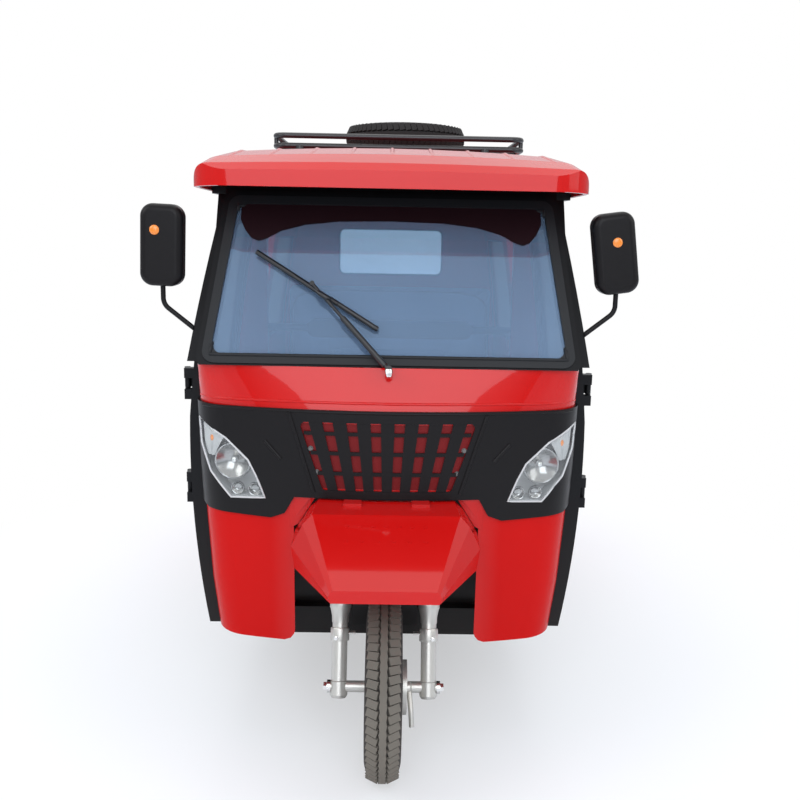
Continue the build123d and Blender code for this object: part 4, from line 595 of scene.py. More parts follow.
wheel_centres = {}
for name, node, body, axis in WHEELS:
    low, high = (Vector(corner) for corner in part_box(node))
    centre = (low + high) / 2
    outer = (high - low)[(axis + 1) % 3] / 2
    half = (high - low)[axis] / 2
    bead = outer * BEAD_SHARE
    wheel_centres[name] = (centre, axis, body)
    side = [(crown(outer, half, share * half) - LUG_DEPTH, share * half) for share in (0.1, 0.3, 0.5, 0.7)]
    side += [(outer + rise, share * half) for rise, share in SHOULDER]
    side += [(bead + rise, share * half) for rise, share in SIDE_WALL]
    profile = [(radius, -across) for radius, across in reversed(side)] + side
    form = bmesh.new()
    lathe(form, profile, centre, AXES[axis], 96, closed=True)
    piece(name + "_tyre_carcass", form, body, "tyre", stands_for=(node,), sharp=60)
    form = bmesh.new()
    root = outer - LUG_DEPTH - 0.001
    edge = outer - RIB_EASE
    foot = RIB_HALF + 0.001
    rib = [(root, -foot), (edge, -RIB_HALF), (outer, 0.0), (edge, RIB_HALF), (root, foot)]
    lathe(form, rib, centre, AXES[axis], 128)
    for vertex in form.verts:
        around = vertex.co - centre
        spin = math.atan2(around[(axis + 2) % 3], around[(axis + 1) % 3])
        if abs(around[axis]) > RIB_HALF * 0.5:
            vertex.co[axis] += math.copysign(RIB_WAVE, around[axis]) * math.cos(spin * LUGS)
    middle = LUG_MIDDLE * half
    fall = crown(outer, half, LUG_INNER * half) - crown(outer, half, LUG_OUTER * half)
    camber = math.atan2(fall, (LUG_OUTER - LUG_INNER) * half)
    spin = (0.0, math.pi / 2, 0.0) if axis == 0 else (0.0, 0.0, 0.0)
    for hand in (1, -1):
        values = {"Count": LUGS, "Radius": crown(outer, half, middle) - LUG_SINK, "Across": hand * middle,
                  "Camber": -hand * camber, "Slant": hand * LUG_SLANT, "Lug": LUG_SIZE, "Phase": 0.25 * hand,
                  "Spin": spin, "Centre": centre, "Material": finishes["tread"]}
        form.from_mesh(run_tree(tread_tree, bpy.data.meshes.new("seed"), values))
    piece(name + "_tread", form, body, "tyre", "tyre" if name == "spare" else "tread", sharp=30)
print("tyres", len(WHEELS), "with", 2 * LUGS, "lugs each")

# %% [markdown]
# Screws and nuts are small, but a bare panel looks like a toy. One tree sets a head on a washer at
# every point of a base mesh, turned to the direction that the point carries. Six sides make a nut,
# and more make a round screw.

# %% fastener tree
nut_tree, enter, leave = new_tree("fasteners", [
    ("Radius", FLOAT, 0.006), ("Height", FLOAT, 0.005), ("Sides", WHOLE, 6), ("Material", STUFF, None)])
head_at = grow(nut_tree, "ShaderNodeCombineXYZ", {"Z": enter["Height"]})
head = grow(nut_tree, GN + "MeshCylinder", {"Vertices": enter["Sides"], "Radius": enter["Radius"],
                                            "Depth": enter["Height"]})
head = grow(nut_tree, GN + "Transform", {"Geometry": head, "Translation": head_at})
wide = grow(nut_tree, "ShaderNodeMath", {0: enter["Radius"], 1: 1.45}, operation="MULTIPLY")
washer = grow(nut_tree, GN + "MeshCylinder", {"Vertices": 18, "Radius": wide, "Depth": enter["Height"]})
both = nut_tree.nodes.new(GN + "JoinGeometry")
nut_tree.links.new(head, both.inputs[0])
nut_tree.links.new(washer, both.inputs[0])
carried = grow(nut_tree, GN + "InputNamedAttribute", {"Name": "aim"}, data_type="FLOAT_VECTOR")
facing = grow(nut_tree, "FunctionNodeAlignRotationToVector", {"Vector": carried}, axis="Z")
set_out = grow(nut_tree, GN + "InstanceOnPoints", {"Points": enter["Geometry"], "Instance": both.outputs[0],
                                                   "Rotation": facing})
close_tree(nut_tree, set_out, enter, leave)
print("fastener tree nodes", len(nut_tree.nodes))


def fasten(name, spots, body, slot, finish, radius, height, sides=6):
    """Set fasteners at (point, direction) pairs, as one piece."""
    base = bpy.data.meshes.new(name)
    base.from_pydata([spot for spot, _ in spots], [], [])
    aim = base.attributes.new("aim", "FLOAT_VECTOR", "POINT")
    for k, (_, direction) in enumerate(spots):
        aim.data[k].vector = direction
    values = {"Radius": radius, "Height": height, "Sides": sides, "Material": finishes[finish]}
    mesh = run_tree(nut_tree, base, values)
    mesh.shade_smooth()
    mesh.set_sharp_from_angle(angle=math.radians(30))
    print(name, len(spots))
    return settle(name, mesh, body, slot, finish)


# %% [markdown]
# A pressed rim is held by a ring of five nuts, and a valve stem stands further out. Rays find the
# rim's face, so all of it sits on the pressing. The front rim is dressed on both faces, the others
# on one.

# %% wheel nuts and valves
RIMS = (
    ("front", "front_rim", (1, -1)),
    ("rear_left", "rear_rim_left", (-1,)),
    ("rear_right", "rear_rim_right", (1,)),
    ("spare", "spare_rim", (1,)),
)
NUTS = 5
NUT_RING = 0.066
VALVE_RING = 0.118
STEM = ((0.0, -0.004), (0.0042, -0.004), (0.0042, 0.010), (0.0030, 0.012), (0.0030, 0.022), (0.0, 0.024))


def on_rim(surface, centre, axis, out, ring, angle):
    """Point on the rim's face at a radius and an angle round the wheel."""
    around = Vector((0, 0, 0))
    around[(axis + 1) % 3] = math.cos(angle) * ring
    around[(axis + 2) % 3] = math.sin(angle) * ring
    return land(surface, centre + around + out * 0.2, -out)[0]


for name, node, hands in RIMS:
    centre, axis, body = wheel_centres[name]
    surface = skin(node)
    spots = []
    form = bmesh.new()
    for hand in hands:
        out = Vector(AXES[axis]) * hand
        for k in range(NUTS):
            at = on_rim(surface, centre, axis, out, NUT_RING, math.tau * (k + 0.5) / NUTS)
            if at is not None:
                spots.append((at, out))
        at = on_rim(surface, centre, axis, out, VALVE_RING, 0.0)
        if at is not None:
            lathe(form, STEM, at, out, 14)
    fasten(name + "_wheel_nuts", spots, body, "fork_silver", "bright", 0.0085, 0.009)
    piece(name + "_valve", form, body, "black_plastic")

# %% [markdown]
# Beads, creases and rubber lips are all one idea: a round section that follows a line. The base
# mesh holds the lines, and the tree sweeps a circle along each. A line that has to lie on a panel
# is first dropped on it with rays, so it follows every curve of the sheet.

# %% bead tree
bead_tree, enter, leave = new_tree("beads", [
    ("Radius", FLOAT, 0.004), ("Sides", WHOLE, 10), ("Material", STUFF, None)])
line = grow(bead_tree, GN + "MeshToCurve", {"Mesh": enter["Geometry"]})
close_tree(bead_tree, sweep_round(bead_tree, line, enter["Sides"], enter["Radius"]), enter, leave)
print("bead tree nodes", len(bead_tree.nodes))


def beads(name, lines, radius, body, slot, finish=None, sides=10, loop=False):
    """Sweep a round bead along each line, as one piece."""
    points = []
    edges = []
    for path in lines:
        base = len(points)
        points += [tuple(point) for point in path]
        edges += [(base + k, base + k + 1) for k in range(len(path) - 1)]
        if loop:
            edges.append((base + len(path) - 1, base))
    mesh = bpy.data.meshes.new(name)
    mesh.from_pydata(points, edges, [])
    values = {"Radius": radius, "Sides": sides, "Material": finishes[finish or slot]}
    made = run_tree(bead_tree, mesh, values)
    made.shade_smooth()
    made.set_sharp_from_angle(angle=math.radians(50))
    print(name, len(lines))
    return settle(name, made, body, slot, finish)


def spread(points, step=0.012):
    """Points closer together along a polyline."""
    dense = []
    for start, end in zip(points, points[1:]):
        start, end = Vector(start), Vector(end)
        count = max(1, round((end - start).length / step))
        dense += [start.lerp(end, k / count) for k in range(count)]
    return dense + [Vector(points[-1])]


def drop(surface, points, aim, sink=0.0, fade=0.0):
    """Let the points of a line fall along aim on to a skin, a little sunk in, more so at its ends."""
    aim = Vector(aim)
    landed = []
    for point in spread(points):
        at, _ = land(surface, point - aim * DROP_FROM, aim)
        if at is not None:
            landed.append(at + aim * sink)
    for k in range(min(FADE_POINTS, len(landed) // 2)):
        deeper = aim * fade * (1.0 - k / FADE_POINTS)
        landed[k] += deeper
        landed[-1 - k] += deeper
    return landed


DROP_FROM = 3.0
FADE_POINTS = 8

# %% [markdown]
# Pressed steel is stiffened by beads. The cowl has one just above the black fascia, and the roof
# has shallow ribs that run back from the peak. The fascia has a crease each side of the grille.

# %% body beads
cowl = skin("front_panel")
fascia = skin("front_fascia", "grille")
roof = skin("roof_panel")
COWL_BEAD_Z = 1.068
FASCIA_TOP_Z = 1.043
RIB_FRONT_Y, RIB_REAR_Y, RIB_REACH = -0.93, 0.10, 0.46
CREASES = (((0.276, 1.040), (0.205, 0.812)), ((0.345, 0.955), (0.300, 0.905)))
bead = drop(cowl, [(-0.54, 0, COWL_BEAD_Z), (0.54, 0, COWL_BEAD_Z)], REARWARD, 0.002, 0.004)
beads("cowl_bead", [bead], 0.0045, "body", "body_red")
ribs = []
for x in np.linspace(-RIB_REACH, RIB_REACH, 9):
    ribs.append(drop(roof, [(x, RIB_FRONT_Y, 0), (x, RIB_REAR_Y, 0)], DOWN, 0.0035, 0.004))
beads("roof_ribs", ribs, 0.007, "body", "body_red")
creases = []
for side in BOTH:
    for ends in CREASES:
        creases.append(drop(fascia, [(side * x, 0, z) for x, z in ends], REARWARD, 0.001))
beads("fascia_creases", creases, 0.0055, "body", "black_plastic")
lip = drop(fascia, [(-0.53, 0, FASCIA_TOP_Z), (0.53, 0, FASCIA_TOP_Z)], REARWARD, 0.002)
beads("fascia_top_lip", [lip], 0.004, "body", "black_plastic")

# %% [markdown]
# Behind the grille slats the panel lies in shade, so it reads as a dull dark red.
# A thin net of faces dropped on the panel carries that darker paint as painted shade, and four dull screws
# hold the slats.


# %% grille shade and screws
def draped(name, surface, columns, rows, place, aim, lift, body, slot, finish):
    """Grid of points dropped on a skin, as a thin sheet just off it."""
    form = bmesh.new()
    aim = Vector(aim)
    grid = []
    for j in range(rows):
        line = []
        for i in range(columns):
            start = Vector(place(i / (columns - 1), j / (rows - 1)))
            at, _ = land(surface, start, aim)
            line.append(form.verts.new((at if at is not None else start) - aim * lift))
        grid.append(line)
    for j in range(rows - 1):
        for i in range(columns - 1):
            form.faces.new((grid[j][i], grid[j][i + 1], grid[j + 1][i + 1], grid[j + 1][i]))
    return piece(name, form, body, slot, finish, sheet=SHEET)


GRILLE_LOW_Z, GRILLE_TALL = 0.824, 0.186
GRILLE_LOW_HALF, GRILLE_FLARE = 0.190, 0.066
GRILLE_SCREWS = ((0.215, 0.938), (0.197, 0.871))


def behind_grille(across, height):
    half = GRILLE_LOW_HALF + GRILLE_FLARE * height
    return (half * (2 * across - 1), -FAR, GRILLE_LOW_Z + GRILLE_TALL * height)


# Painted shade: a dark red sheet over the panel behind the grille.
draped("grille_shade", cowl, 15, 9, behind_grille, REARWARD, 0.0012, "body", "body_red", "grille_shade")
face = skin("front_fascia", "grille", "front_panel")
screws = [from_front(face, side * x, z) for side in BOTH for x, z in GRILLE_SCREWS]
fasten("grille_screws", screws, "body", "fork_silver", "cast_metal", 0.0052, 0.004, 12)

# %% [markdown]
# A headlamp is a bright bowl, a round dish with facets that throws the beam, a bulb in its middle
# and two small position lamps underneath. All of it lies behind a clear cover, so the parts are
# set back from the cover along its own normal.

# %% headlamp optics
lens = skin("headlamp_lenses")
DISH_AT = (0.447, 0.884)
DISH_R = 0.049
DISH_DEPTH = 0.026
DISH_BACK = 0.016
BULB = ((0.0, -0.024), (0.009, -0.024), (0.009, -0.013), (0.0075, -0.010), (0.0045, -0.0085), (0.0, -0.008))
CELLS_AT = ((0.381, 0.806), (0.432, 0.806))
CELL = ((0.0, -0.012), (0.010, -0.008), (0.017, 0.0), (0.019, 0.001), (0.020, -0.004))
CELL_BACK = 0.012
dish = [(DISH_R * share, -DISH_DEPTH * (1 - share ** 2)) for share in (0.18, 0.34, 0.5, 0.66, 0.82, 1.0)]
dish += [(DISH_R + 0.004, 0.001), (DISH_R + 0.005, -0.006)]
optics = bmesh.new()
bulbs = bmesh.new()
small = bmesh.new()
for side in BOTH:
    at, normal = from_front(lens, side * DISH_AT[0], DISH_AT[1])
    look = (normal + FORWARD * 1.2).normalized()
    lathe(optics, dish, at - normal * DISH_BACK, look, 22)
    lathe(bulbs, BULB, at - normal * DISH_BACK, look, 20)
    for x, z in CELLS_AT:
        at, normal = from_front(lens, side * x, z)
        lathe(small, CELL, at - normal * CELL_BACK, (normal + FORWARD).normalized(), 18)
piece("headlamp_dishes", optics, "body", "lamp_chrome", sharp=14, sheet=SHEET)
piece("headlamp_bulbs", bulbs, "body", "lamp_chrome", "bright")
piece("position_lamps", small, "body", "lamp_chrome", sharp=20, sheet=SHEET)

# %% [markdown]
# The upper corner of each lamp holds the direction indicator: a frosted, rippled insert with a small
# amber bulb. The insert follows the cover's curve about a centimetre behind it.

# %% indicator inserts
INSERT_ROWS = ((0.895, 0.505, 0.524), (0.915, 0.496, 0.533), (0.935, 0.484, 0.538), (0.955, 0.470, 0.539),
               (0.972, 0.500, 0.540), (0.986, 0.524, 0.541))
INSERT_COLUMNS = 7
INSERT_BACK, INSERT_RIPPLE = 0.011, 0.003
INDICATOR_AT = (0.512, 0.945)
INDICATOR = ((0.011, -0.006), (0.010, 0.0), (0.006, 0.003), (0.0, 0.004))
form = bmesh.new()
cells = bmesh.new()
for side in BOTH:
    previous = None
    for z, inner, outer in INSERT_ROWS:
        row = []
        for share in np.linspace(0.0, 1.0, INSERT_COLUMNS):
            at, normal = from_front(lens, side * (inner + (outer - inner) * share), z)
            ripple = INSERT_RIPPLE * math.cos(share * math.tau * 1.5)
            row.append(form.verts.new(at - normal * (INSERT_BACK + ripple)))
        if previous:
            for k in range(INSERT_COLUMNS - 1):
                form.faces.new((previous[k], previous[k + 1], row[k + 1], row[k]))
        previous = row
    at, normal = from_front(lens, side * INDICATOR_AT[0], INDICATOR_AT[1])
    lathe(cells, INDICATOR, at - normal * 0.013, normal, 18)
piece("indicator_inserts", form, "body", "lamp_chrome", "frosted", sheet=SHEET)
piece("indicator_bulbs", cells, "body", "lamp_red", "amber")

# %% [markdown]
# A thin grey rim marks where the lamp cover meets the fascia. Its corners are listed once for one
# lamp, and the other lamp mirrors them.

# %% lamp bezels
LAMP_EDGE = ((0.545, 1.003), (0.460, 0.955), (0.395, 0.895), (0.372, 0.850), (0.346, 0.787),
             (0.447, 0.781), (0.508, 0.850), (0.540, 0.930))
front_skin = skin("front_fascia", "headlamp_lenses")
bezels = []
for side in BOTH:
    outline = [(side * x, 0, z) for x, z in LAMP_EDGE]
    bezels.append(drop(front_skin, outline + outline[:1], REARWARD, 0.0005)[:-1])
beads("headlamp_bezels", bezels, 0.0030, "body", "lamp_chrome", "lamp_bowl", 8, loop=True)

# %% [markdown]
# The wiper spindle ends in a bright dome nut. The mirrors carry an amber reflector in front and
# silvered glass behind. The nut and the reflectors are lathe work, and the glass is a rounded plate.

# %% spindle nut, reflectors and mirror glass
DOME = ((0.0115, -0.006), (0.0115, 0.004), (0.0095, 0.006), (0.0090, 0.011), (0.006, 0.015), (0.0, 0.0165))
DISC = ((0.0135, -0.004), (0.0135, 0.002), (0.0120, 0.0036), (0.007, 0.0046), (0.0, 0.005))
SPINDLE_Z = 1.158
REFLECTORS = (("mirror_left", -0.656, 1.531), ("mirror_right", 0.633, 1.520))
SHELL_TALL, SHELL_MIDDLE = 0.228, 0.062
GLASS_W, GLASS_H, GLASS_T, GLASS_PROUD = 0.046, 0.097, 0.006, 0.0012
form = bmesh.new()
at, normal = from_front(skin("wiper", "front_panel"), 0.0, SPINDLE_Z)
lathe(form, DOME, at, normal, 20)
piece("wiper_nut", form, "body", "fork_silver", "bright")
form = bmesh.new()
for node, x, z in REFLECTORS:
    at, normal = from_front(skin(node), x, z)
    lathe(form, DISC, at, normal, 24)
piece("mirror_reflectors", form, "body", "lamp_red", "amber")
form = bmesh.new()
for node, *_ in REFLECTORS:
    low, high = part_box(node)
    side = math.copysign(1, low[0] + high[0])
    x = side * (max(abs(low[0]), abs(high[0])) - SHELL_MIDDLE)
    middle = Vector((x, high[1] + GLASS_PROUD, high[2] - SHELL_TALL / 2))
    ring = [middle + Vector((GLASS_W * across, 0, GLASS_H * up)) for across, up in rounded(0.55, 48)]
    front = [form.verts.new(point - REARWARD * GLASS_T) for point in ring]
    back = [form.verts.new(point) for point in ring]
    form.faces.new(back)
    for k in range(len(ring)):
        form.faces.new((front[k - 1], front[k], back[k], back[k - 1]))
piece("mirror_glass", form, "body", "lamp_chrome", "mirror", sharp=30)

# %% [markdown]
# The fork sliders have a flared bell at the top, a clamp collar with an inward ear for the brake
# hose, and hexagon nuts at the axle. The leg leans back twenty degrees, so the profiles are turned
# about that line.

# %% fork fittings
LEAN = math.radians(20.0)
LEG_LINE = Vector((0, math.sin(LEAN), math.cos(LEAN)))
AXLE = Vector((0, -1.14, 0.257))
LEG_X = 0.128


def leg(side, z):
    """Point on a fork leg's middle line at a height."""
    return Vector((side * LEG_X, AXLE.y + math.tan(LEAN) * (z - AXLE.z), z))


BELL = ((0.0215, -0.030), (0.0235, -0.029), (0.0245, -0.010), (0.0290, 0.010), (0.0310, 0.014),
        (0.0310, 0.026), (0.0285, 0.030), (0.0215, 0.030))
COLLAR = ((0.0215, -0.019), (0.0262, -0.018), (0.0270, -0.015), (0.0270, 0.015), (0.0262, 0.018),
          (0.0215, 0.019))
FOOT_CAP = ((0.0215, 0.022), (0.0245, 0.020), (0.0250, -0.018), (0.0200, -0.026), (0.0, -0.027))
COLLAR_Z = 0.394
LEG_TURNINGS = ((BELL, 0.452), (COLLAR, COLLAR_Z), (FOOT_CAP, 0.252))
EAR = (0.020, 0.016, 0.005)
EAR_IN, EAR_Z = 0.035, 0.398
NUT_X = 0.1565
CAM_AT = Vector((0.066, -1.150, 0.262))
CAM = ((0.0, 0.0), (0.016, 0.0), (0.016, 0.010), (0.010, 0.014), (0.0, 0.014))
BRAKE_ARM = ((0.072, -1.150, 0.262), (0.078, -1.190, 0.215), (0.081, -1.205, 0.170))
form = bmesh.new()
for side in BOTH:
    for profile, z in LEG_TURNINGS:
        lathe(form, profile, leg(side, z), LEG_LINE, 32)
    made = bmesh.ops.create_cube(form, size=1.0)["verts"]
    bmesh.ops.scale(form, vec=EAR, verts=made)
    bmesh.ops.translate(form, vec=leg(side, EAR_Z) + Vector((-side * EAR_IN, 0, 0)), verts=made)
piece("fork_fittings", form, "steering", "fork_silver", sharp=30)
nuts = [((side * NUT_X, AXLE.y, AXLE.z), (side, 0, 0)) for side in BOTH]
fasten("fork_nuts", nuts, "steering", "fork_silver", "bright", 0.0125, 0.010)
bolts = [(leg(side, COLLAR_Z) + Vector((side * 0.010, -0.0265, 0)), FORWARD) for side in BOTH]
fasten("collar_bolts", bolts, "steering", "fork_silver", "bright", 0.0045, 0.005)
beads("brake_arm", [spread(BRAKE_ARM)], 0.0075, "steering", "fork_silver", None, 8)
form = bmesh.new()
lathe(form, CAM, CAM_AT, (1, 0, 0), 20)
piece("brake_cam", form, "steering", "fork_silver")

# %% [markdown]
# Inside, a near-black lining closes the roof and the peak, dropped on the roof sheet from below; its colour
# is painted shade.
# A dark band with a curved lower edge lies on the glass, a painted shade of the roof hoop behind the pane,
# so it takes its slope from the pane.

# %% roof lining and screen band
def under_roof(across, along):
    return (0.86 * across - 0.43, -0.70 + 1.98 * along, 1.50)


def under_visor(across, along):
    return (0.98 * across - 0.49, -0.995 + 0.20 * along, 1.655)


# Painted shade: the undersides of the roof and the peak are lined in near-black.
draped("roof_lining", roof, 25, 41, under_roof, -DOWN, 0.006, "body", "black_plastic", "painted_shade_lining")
draped("visor_lining", roof, 31, 9, under_visor, -DOWN, 0.003, "body", "black_plastic", "painted_shade_lining")
BAND_LIFT = 0.0015
BAND_TOP = 1.614
BAND_EDGE = ((0.0, 1.567), (0.15, 1.564), (0.25, 1.553), (0.32, 1.534), (0.36, 1.512), (0.384, 1.504),
             (0.405, 1.512), (0.425, 1.535), (0.440, 1.565))
screen = skin("windscreen_glass")
pane_low, _ = from_front(screen, 0.0, 1.25)
pane_high, _ = from_front(screen, 0.0, 1.55)
slope = (pane_high.y - pane_low.y) / (pane_high.z - pane_low.z)
form = bmesh.new()
edge = [(-x, z) for x, z in reversed(BAND_EDGE[1:])] + list(BAND_EDGE)
previous = None
for x, z in edge:
    pair = []
    for height in (z, BAND_TOP):
        y = pane_low.y + slope * (height - pane_low.z) - BAND_LIFT
        pair.append(form.verts.new((x, y, height)))
    if previous:
        form.faces.new((previous[0], pair[0], pair[1], previous[1]))
    previous = pair
# Painted shade: a dark sheet on the glass where the roof hoop behind it lies in shade.
piece("screen_band", form, "body", "black_plastic", "painted_shade_band", sheet=SHEET)

# %% [markdown]
# Each pane sits in a rubber lip. The pane's sharp edges already hold the line, so a tree picks the
# edges by their angle and sweeps the rubber along them, and no outline has to be typed again.

# %% window rubbers
lip_tree, enter, leave = new_tree("pane_lips", [
    ("Angle", FLOAT, 0.9), ("Radius", FLOAT, 0.006), ("Material", STUFF, None)])
LIP_ANGLE, LIP_RADIUS = 0.9, 0.0065
bend = grow(lip_tree, GN + "InputMeshEdgeAngle", {})
picked = grow(lip_tree, "FunctionNodeCompare", {0: bend, 1: enter["Angle"]}, operation="GREATER_THAN")
line = grow(lip_tree, GN + "MeshToCurve", {"Mesh": enter["Geometry"], "Selection": picked})
close_tree(lip_tree, sweep_round(lip_tree, line, 8, enter["Radius"]), enter, leave)
PANES = (("door_window_left", "left_door"), ("door_window_right", "right_door"), ("quarter_windows", "body"),
         ("rear_window", "body"))
for node, body in PANES:
    form = bmesh.new()
    form.from_mesh(nodes[node].data)
    bmesh.ops.remove_doubles(form, verts=form.verts, dist=1e-5)
    mesh = bpy.data.meshes.new(node)
    form.to_mesh(mesh)
    form.free()
    values = {"Angle": LIP_ANGLE, "Radius": LIP_RADIUS, "Material": finishes["seal_rubber"]}
    made = run_tree(lip_tree, mesh, values)
    made.shade_smooth()
    settle(node + "_rubber", made, body, "seal_rubber")
print("panes with rubber", len(PANES))

# %% [markdown]
# Seat cushions are foam in a sewn cover. Foam pushes the cover out and the seams hold it in, which
# is a cloth under pressure that is pinned along its seams. So each CAD block is shrunk a little,
# remeshed evenly, pinned at its base and at its sewn channels, blown up and frozen.

# %% cloth cushions
# node, axis of its thickness, side of its base, voxel, largest swelling and sewn panels
SEATS = (
    ("bench_cushion", 2, -1, 0.011, 0.026, 5),
    ("bench_backrest", 1, 1, 0.011, 0.024, 5),
    ("driver_cushion", 2, -1, 0.008, 0.022, 3),
    ("driver_backrest", 1, 1, 0.008, 0.018, 3),
)
SHRINK = 0.010
FRAMES = 20
PRESSURE = 4.0
covers = []
for node, thick, base_side, voxel, cap, panels in SEATS:
    low, high = (np.array(corner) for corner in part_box(node))
    form = bmesh.new()
    form.from_mesh(nodes[node].data)
    bmesh.ops.remove_doubles(form, verts=form.verts, dist=1e-5)
    middle = (low + high) / 2
    for vertex in form.verts:
        for k in range(3):
            half = (high[k] - low[k]) / 2
            vertex.co[k] = middle[k] + (vertex.co[k] - middle[k]) * (half - SHRINK) / half
    mesh = bpy.data.meshes.new(node + "_cover")
    form.to_mesh(mesh)
    form.free()
    block = bpy.data.objects.new(node + "_cover", mesh)
    bpy.context.scene.collection.objects.link(block)
    remesh = block.modifiers.new("even", "REMESH")
    remesh.mode = "VOXEL"
    remesh.voxel_size = voxel
    graph = bpy.context.evaluated_depsgraph_get()
    even = bpy.data.meshes.new_from_object(block.evaluated_get(graph))
    block.modifiers.remove(remesh)
    block.data = even
    rest = np.array([vertex.co[:] for vertex in even.vertices])
    base = low[thick] + SHRINK if base_side < 0 else high[thick] - SHRINK
    held = np.abs(rest[:, thick] - base) < voxel * 1.2
    width = high[0] - low[0] - 2 * SHRINK
    share = (rest[:, 0] - low[0] - SHRINK) / width * panels
    near_seam = np.abs(share - np.round(share)) * width / panels < voxel * 0.55
    inner = (np.round(share) > 0) & (np.round(share) < panels)
    held |= near_seam & inner
    pins = block.vertex_groups.new(name="pins")
    pins.add(np.nonzero(held)[0].tolist(), 1.0, "REPLACE")
    covers.append((block, node, rest, cap))
print("covers", [len(cover[2]) for cover in covers])

# %% [markdown]
# The covers are blown up together, frame by frame. A cushion can't swell without limit, so each
# point's way is capped before the mesh is smoothed once and frozen as a padded piece.

# %% blow up the covers
scene = bpy.context.scene
for block, *_ in covers:
    cloth = block.modifiers.new("cover", "CLOTH")
    cloth.settings.use_pressure = True
    cloth.settings.uniform_pressure_force = PRESSURE
    cloth.settings.vertex_group_mass = "pins"
    cloth.settings.effector_weights.gravity = 0.0
    cloth.settings.quality = 4
    cloth.collision_settings.use_self_collision = False
    cloth.point_cache.frame_start = 1
    cloth.point_cache.frame_end = FRAMES
for step in range(1, FRAMES + 1):
    scene.frame_set(step)
for block, node, rest, cap in covers:
    graph = bpy.context.evaluated_depsgraph_get()
    blown = bpy.data.meshes.new_from_object(block.evaluated_get(graph))
    places = np.array([vertex.co[:] for vertex in blown.vertices])
    move = places - rest
    reach = np.linalg.norm(move, axis=1, keepdims=True)
    places = rest + move * np.minimum(1.0, cap / np.maximum(reach, 1e-9))
    blown.vertices.foreach_set("co", places.ravel())
    block.modifiers.clear()
    block.data = blown
    smooth = block.modifiers.new("round", "SUBSURF")
    smooth.levels = smooth.render_levels = 1
    graph = bpy.context.evaluated_depsgraph_get()
    done = bpy.data.meshes.new_from_object(block.evaluated_get(graph))
    done.shade_smooth()
    bpy.data.objects.remove(block)
    cushion = settle(node + "_cover", done, "body", "seat_cover", stands_for=(node,))
    print(node, "faces", len(done.polygons), "moved", round(float(reach.max()), 4))
scene.frame_set(1)

# %% [markdown]
# The doors and rear quarters are plain pressed skins, so a waist bead, a pull handle and a row of
# screws give them scale. Lines fall on the skin from the side, and door trim rides on its own door.

# %% door trim
WAIST_Z = 0.985
DOOR_FOOT_Z = 0.46
HANDLE_Z = 0.925
HANDLE = ((-0.275, 0.0), (-0.275, 0.026), (-0.290, 0.034), (-0.365, 0.034), (-0.380, 0.026), (-0.380, 0.0))
QUARTER_SCREW_Z = 0.955
for side, word in SIDES:
    door = skin("door_" + word)
    aim = Vector((-side, 0, 0))
    waist = drop(door, [(0, -0.80, WAIST_Z), (0, -0.24, WAIST_Z)], aim, 0.002)
    foot = drop(door, [(0, -0.78, DOOR_FOOT_Z), (0, -0.26, DOOR_FOOT_Z)], aim, 0.002)
    beads("door_beads_" + word, [waist, foot], 0.0055, word + "_door", "black_paint")
    grip = []
    for y, lift in HANDLE:
        at, _ = land(door, (side * FAR, y, HANDLE_Z), aim)
        grip.append(at - aim * lift)
    beads("door_handle_" + word, [spread(grip, 0.006)], 0.0060, word + "_door", "fork_silver", "bright", 10)
    quarter = skin("rear_quarter_" + word)
    lines = [drop(quarter, [(0, 0.45, WAIST_Z), (0, 1.32, WAIST_Z)], aim, 0.002)]
    beads("quarter_bead_" + word, lines, 0.0055, "body", "body_red")
    spots = [land(quarter, (side * FAR, y, QUARTER_SCREW_Z), aim) for y in np.linspace(0.47, 1.30, 8)]
    fasten("quarter_screws_" + word, spots, "body", "fork_silver", "bright", 0.0042, 0.003, 12)

# %% [markdown]
# Sewn covers are closed by piping, a thin cord in a strip of cover. It runs round the sitting face
# a little in from the edge, so a rounded frame of points is dropped on the finished cushion.

# %% seat piping
PIPING_IN = 0.030
for node, thick, base_side, *_ in SEATS:
    cover = bpy.data.objects[node + "_cover"].data
    corners = [vertex.co.copy() for vertex in cover.vertices]
    surface = BVHTree.FromPolygons(corners, [list(face.vertices) for face in cover.polygons])
    low, high = (np.array(corner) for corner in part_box(node))
    flat = [k for k in range(3) if k != thick]
    aim = Vector((0, 0, 0))
    aim[thick] = base_side
    loop = []
    for waves in rounded(0.28, 160):
        point = Vector((low + high) / 2)
        for axis, wave in zip(flat, waves):
            point[axis] += ((high[axis] - low[axis]) / 2 - PIPING_IN) * wave
        at, _ = land(surface, point - aim * 1.0, aim)
        if at is not None:
            loop.append(at)
    beads(node + "_piping", [loop], 0.0042, "body", "seat_cover", "piping", 8, loop=True)

# %% [markdown]
# The back of the vehicle carries the lamps, a bare plate and stiffening beads. A lamp cover is one
# moulding in several colours, so amber and clear windows are laid over the red CAD body, with a
# black frame round each lamp.

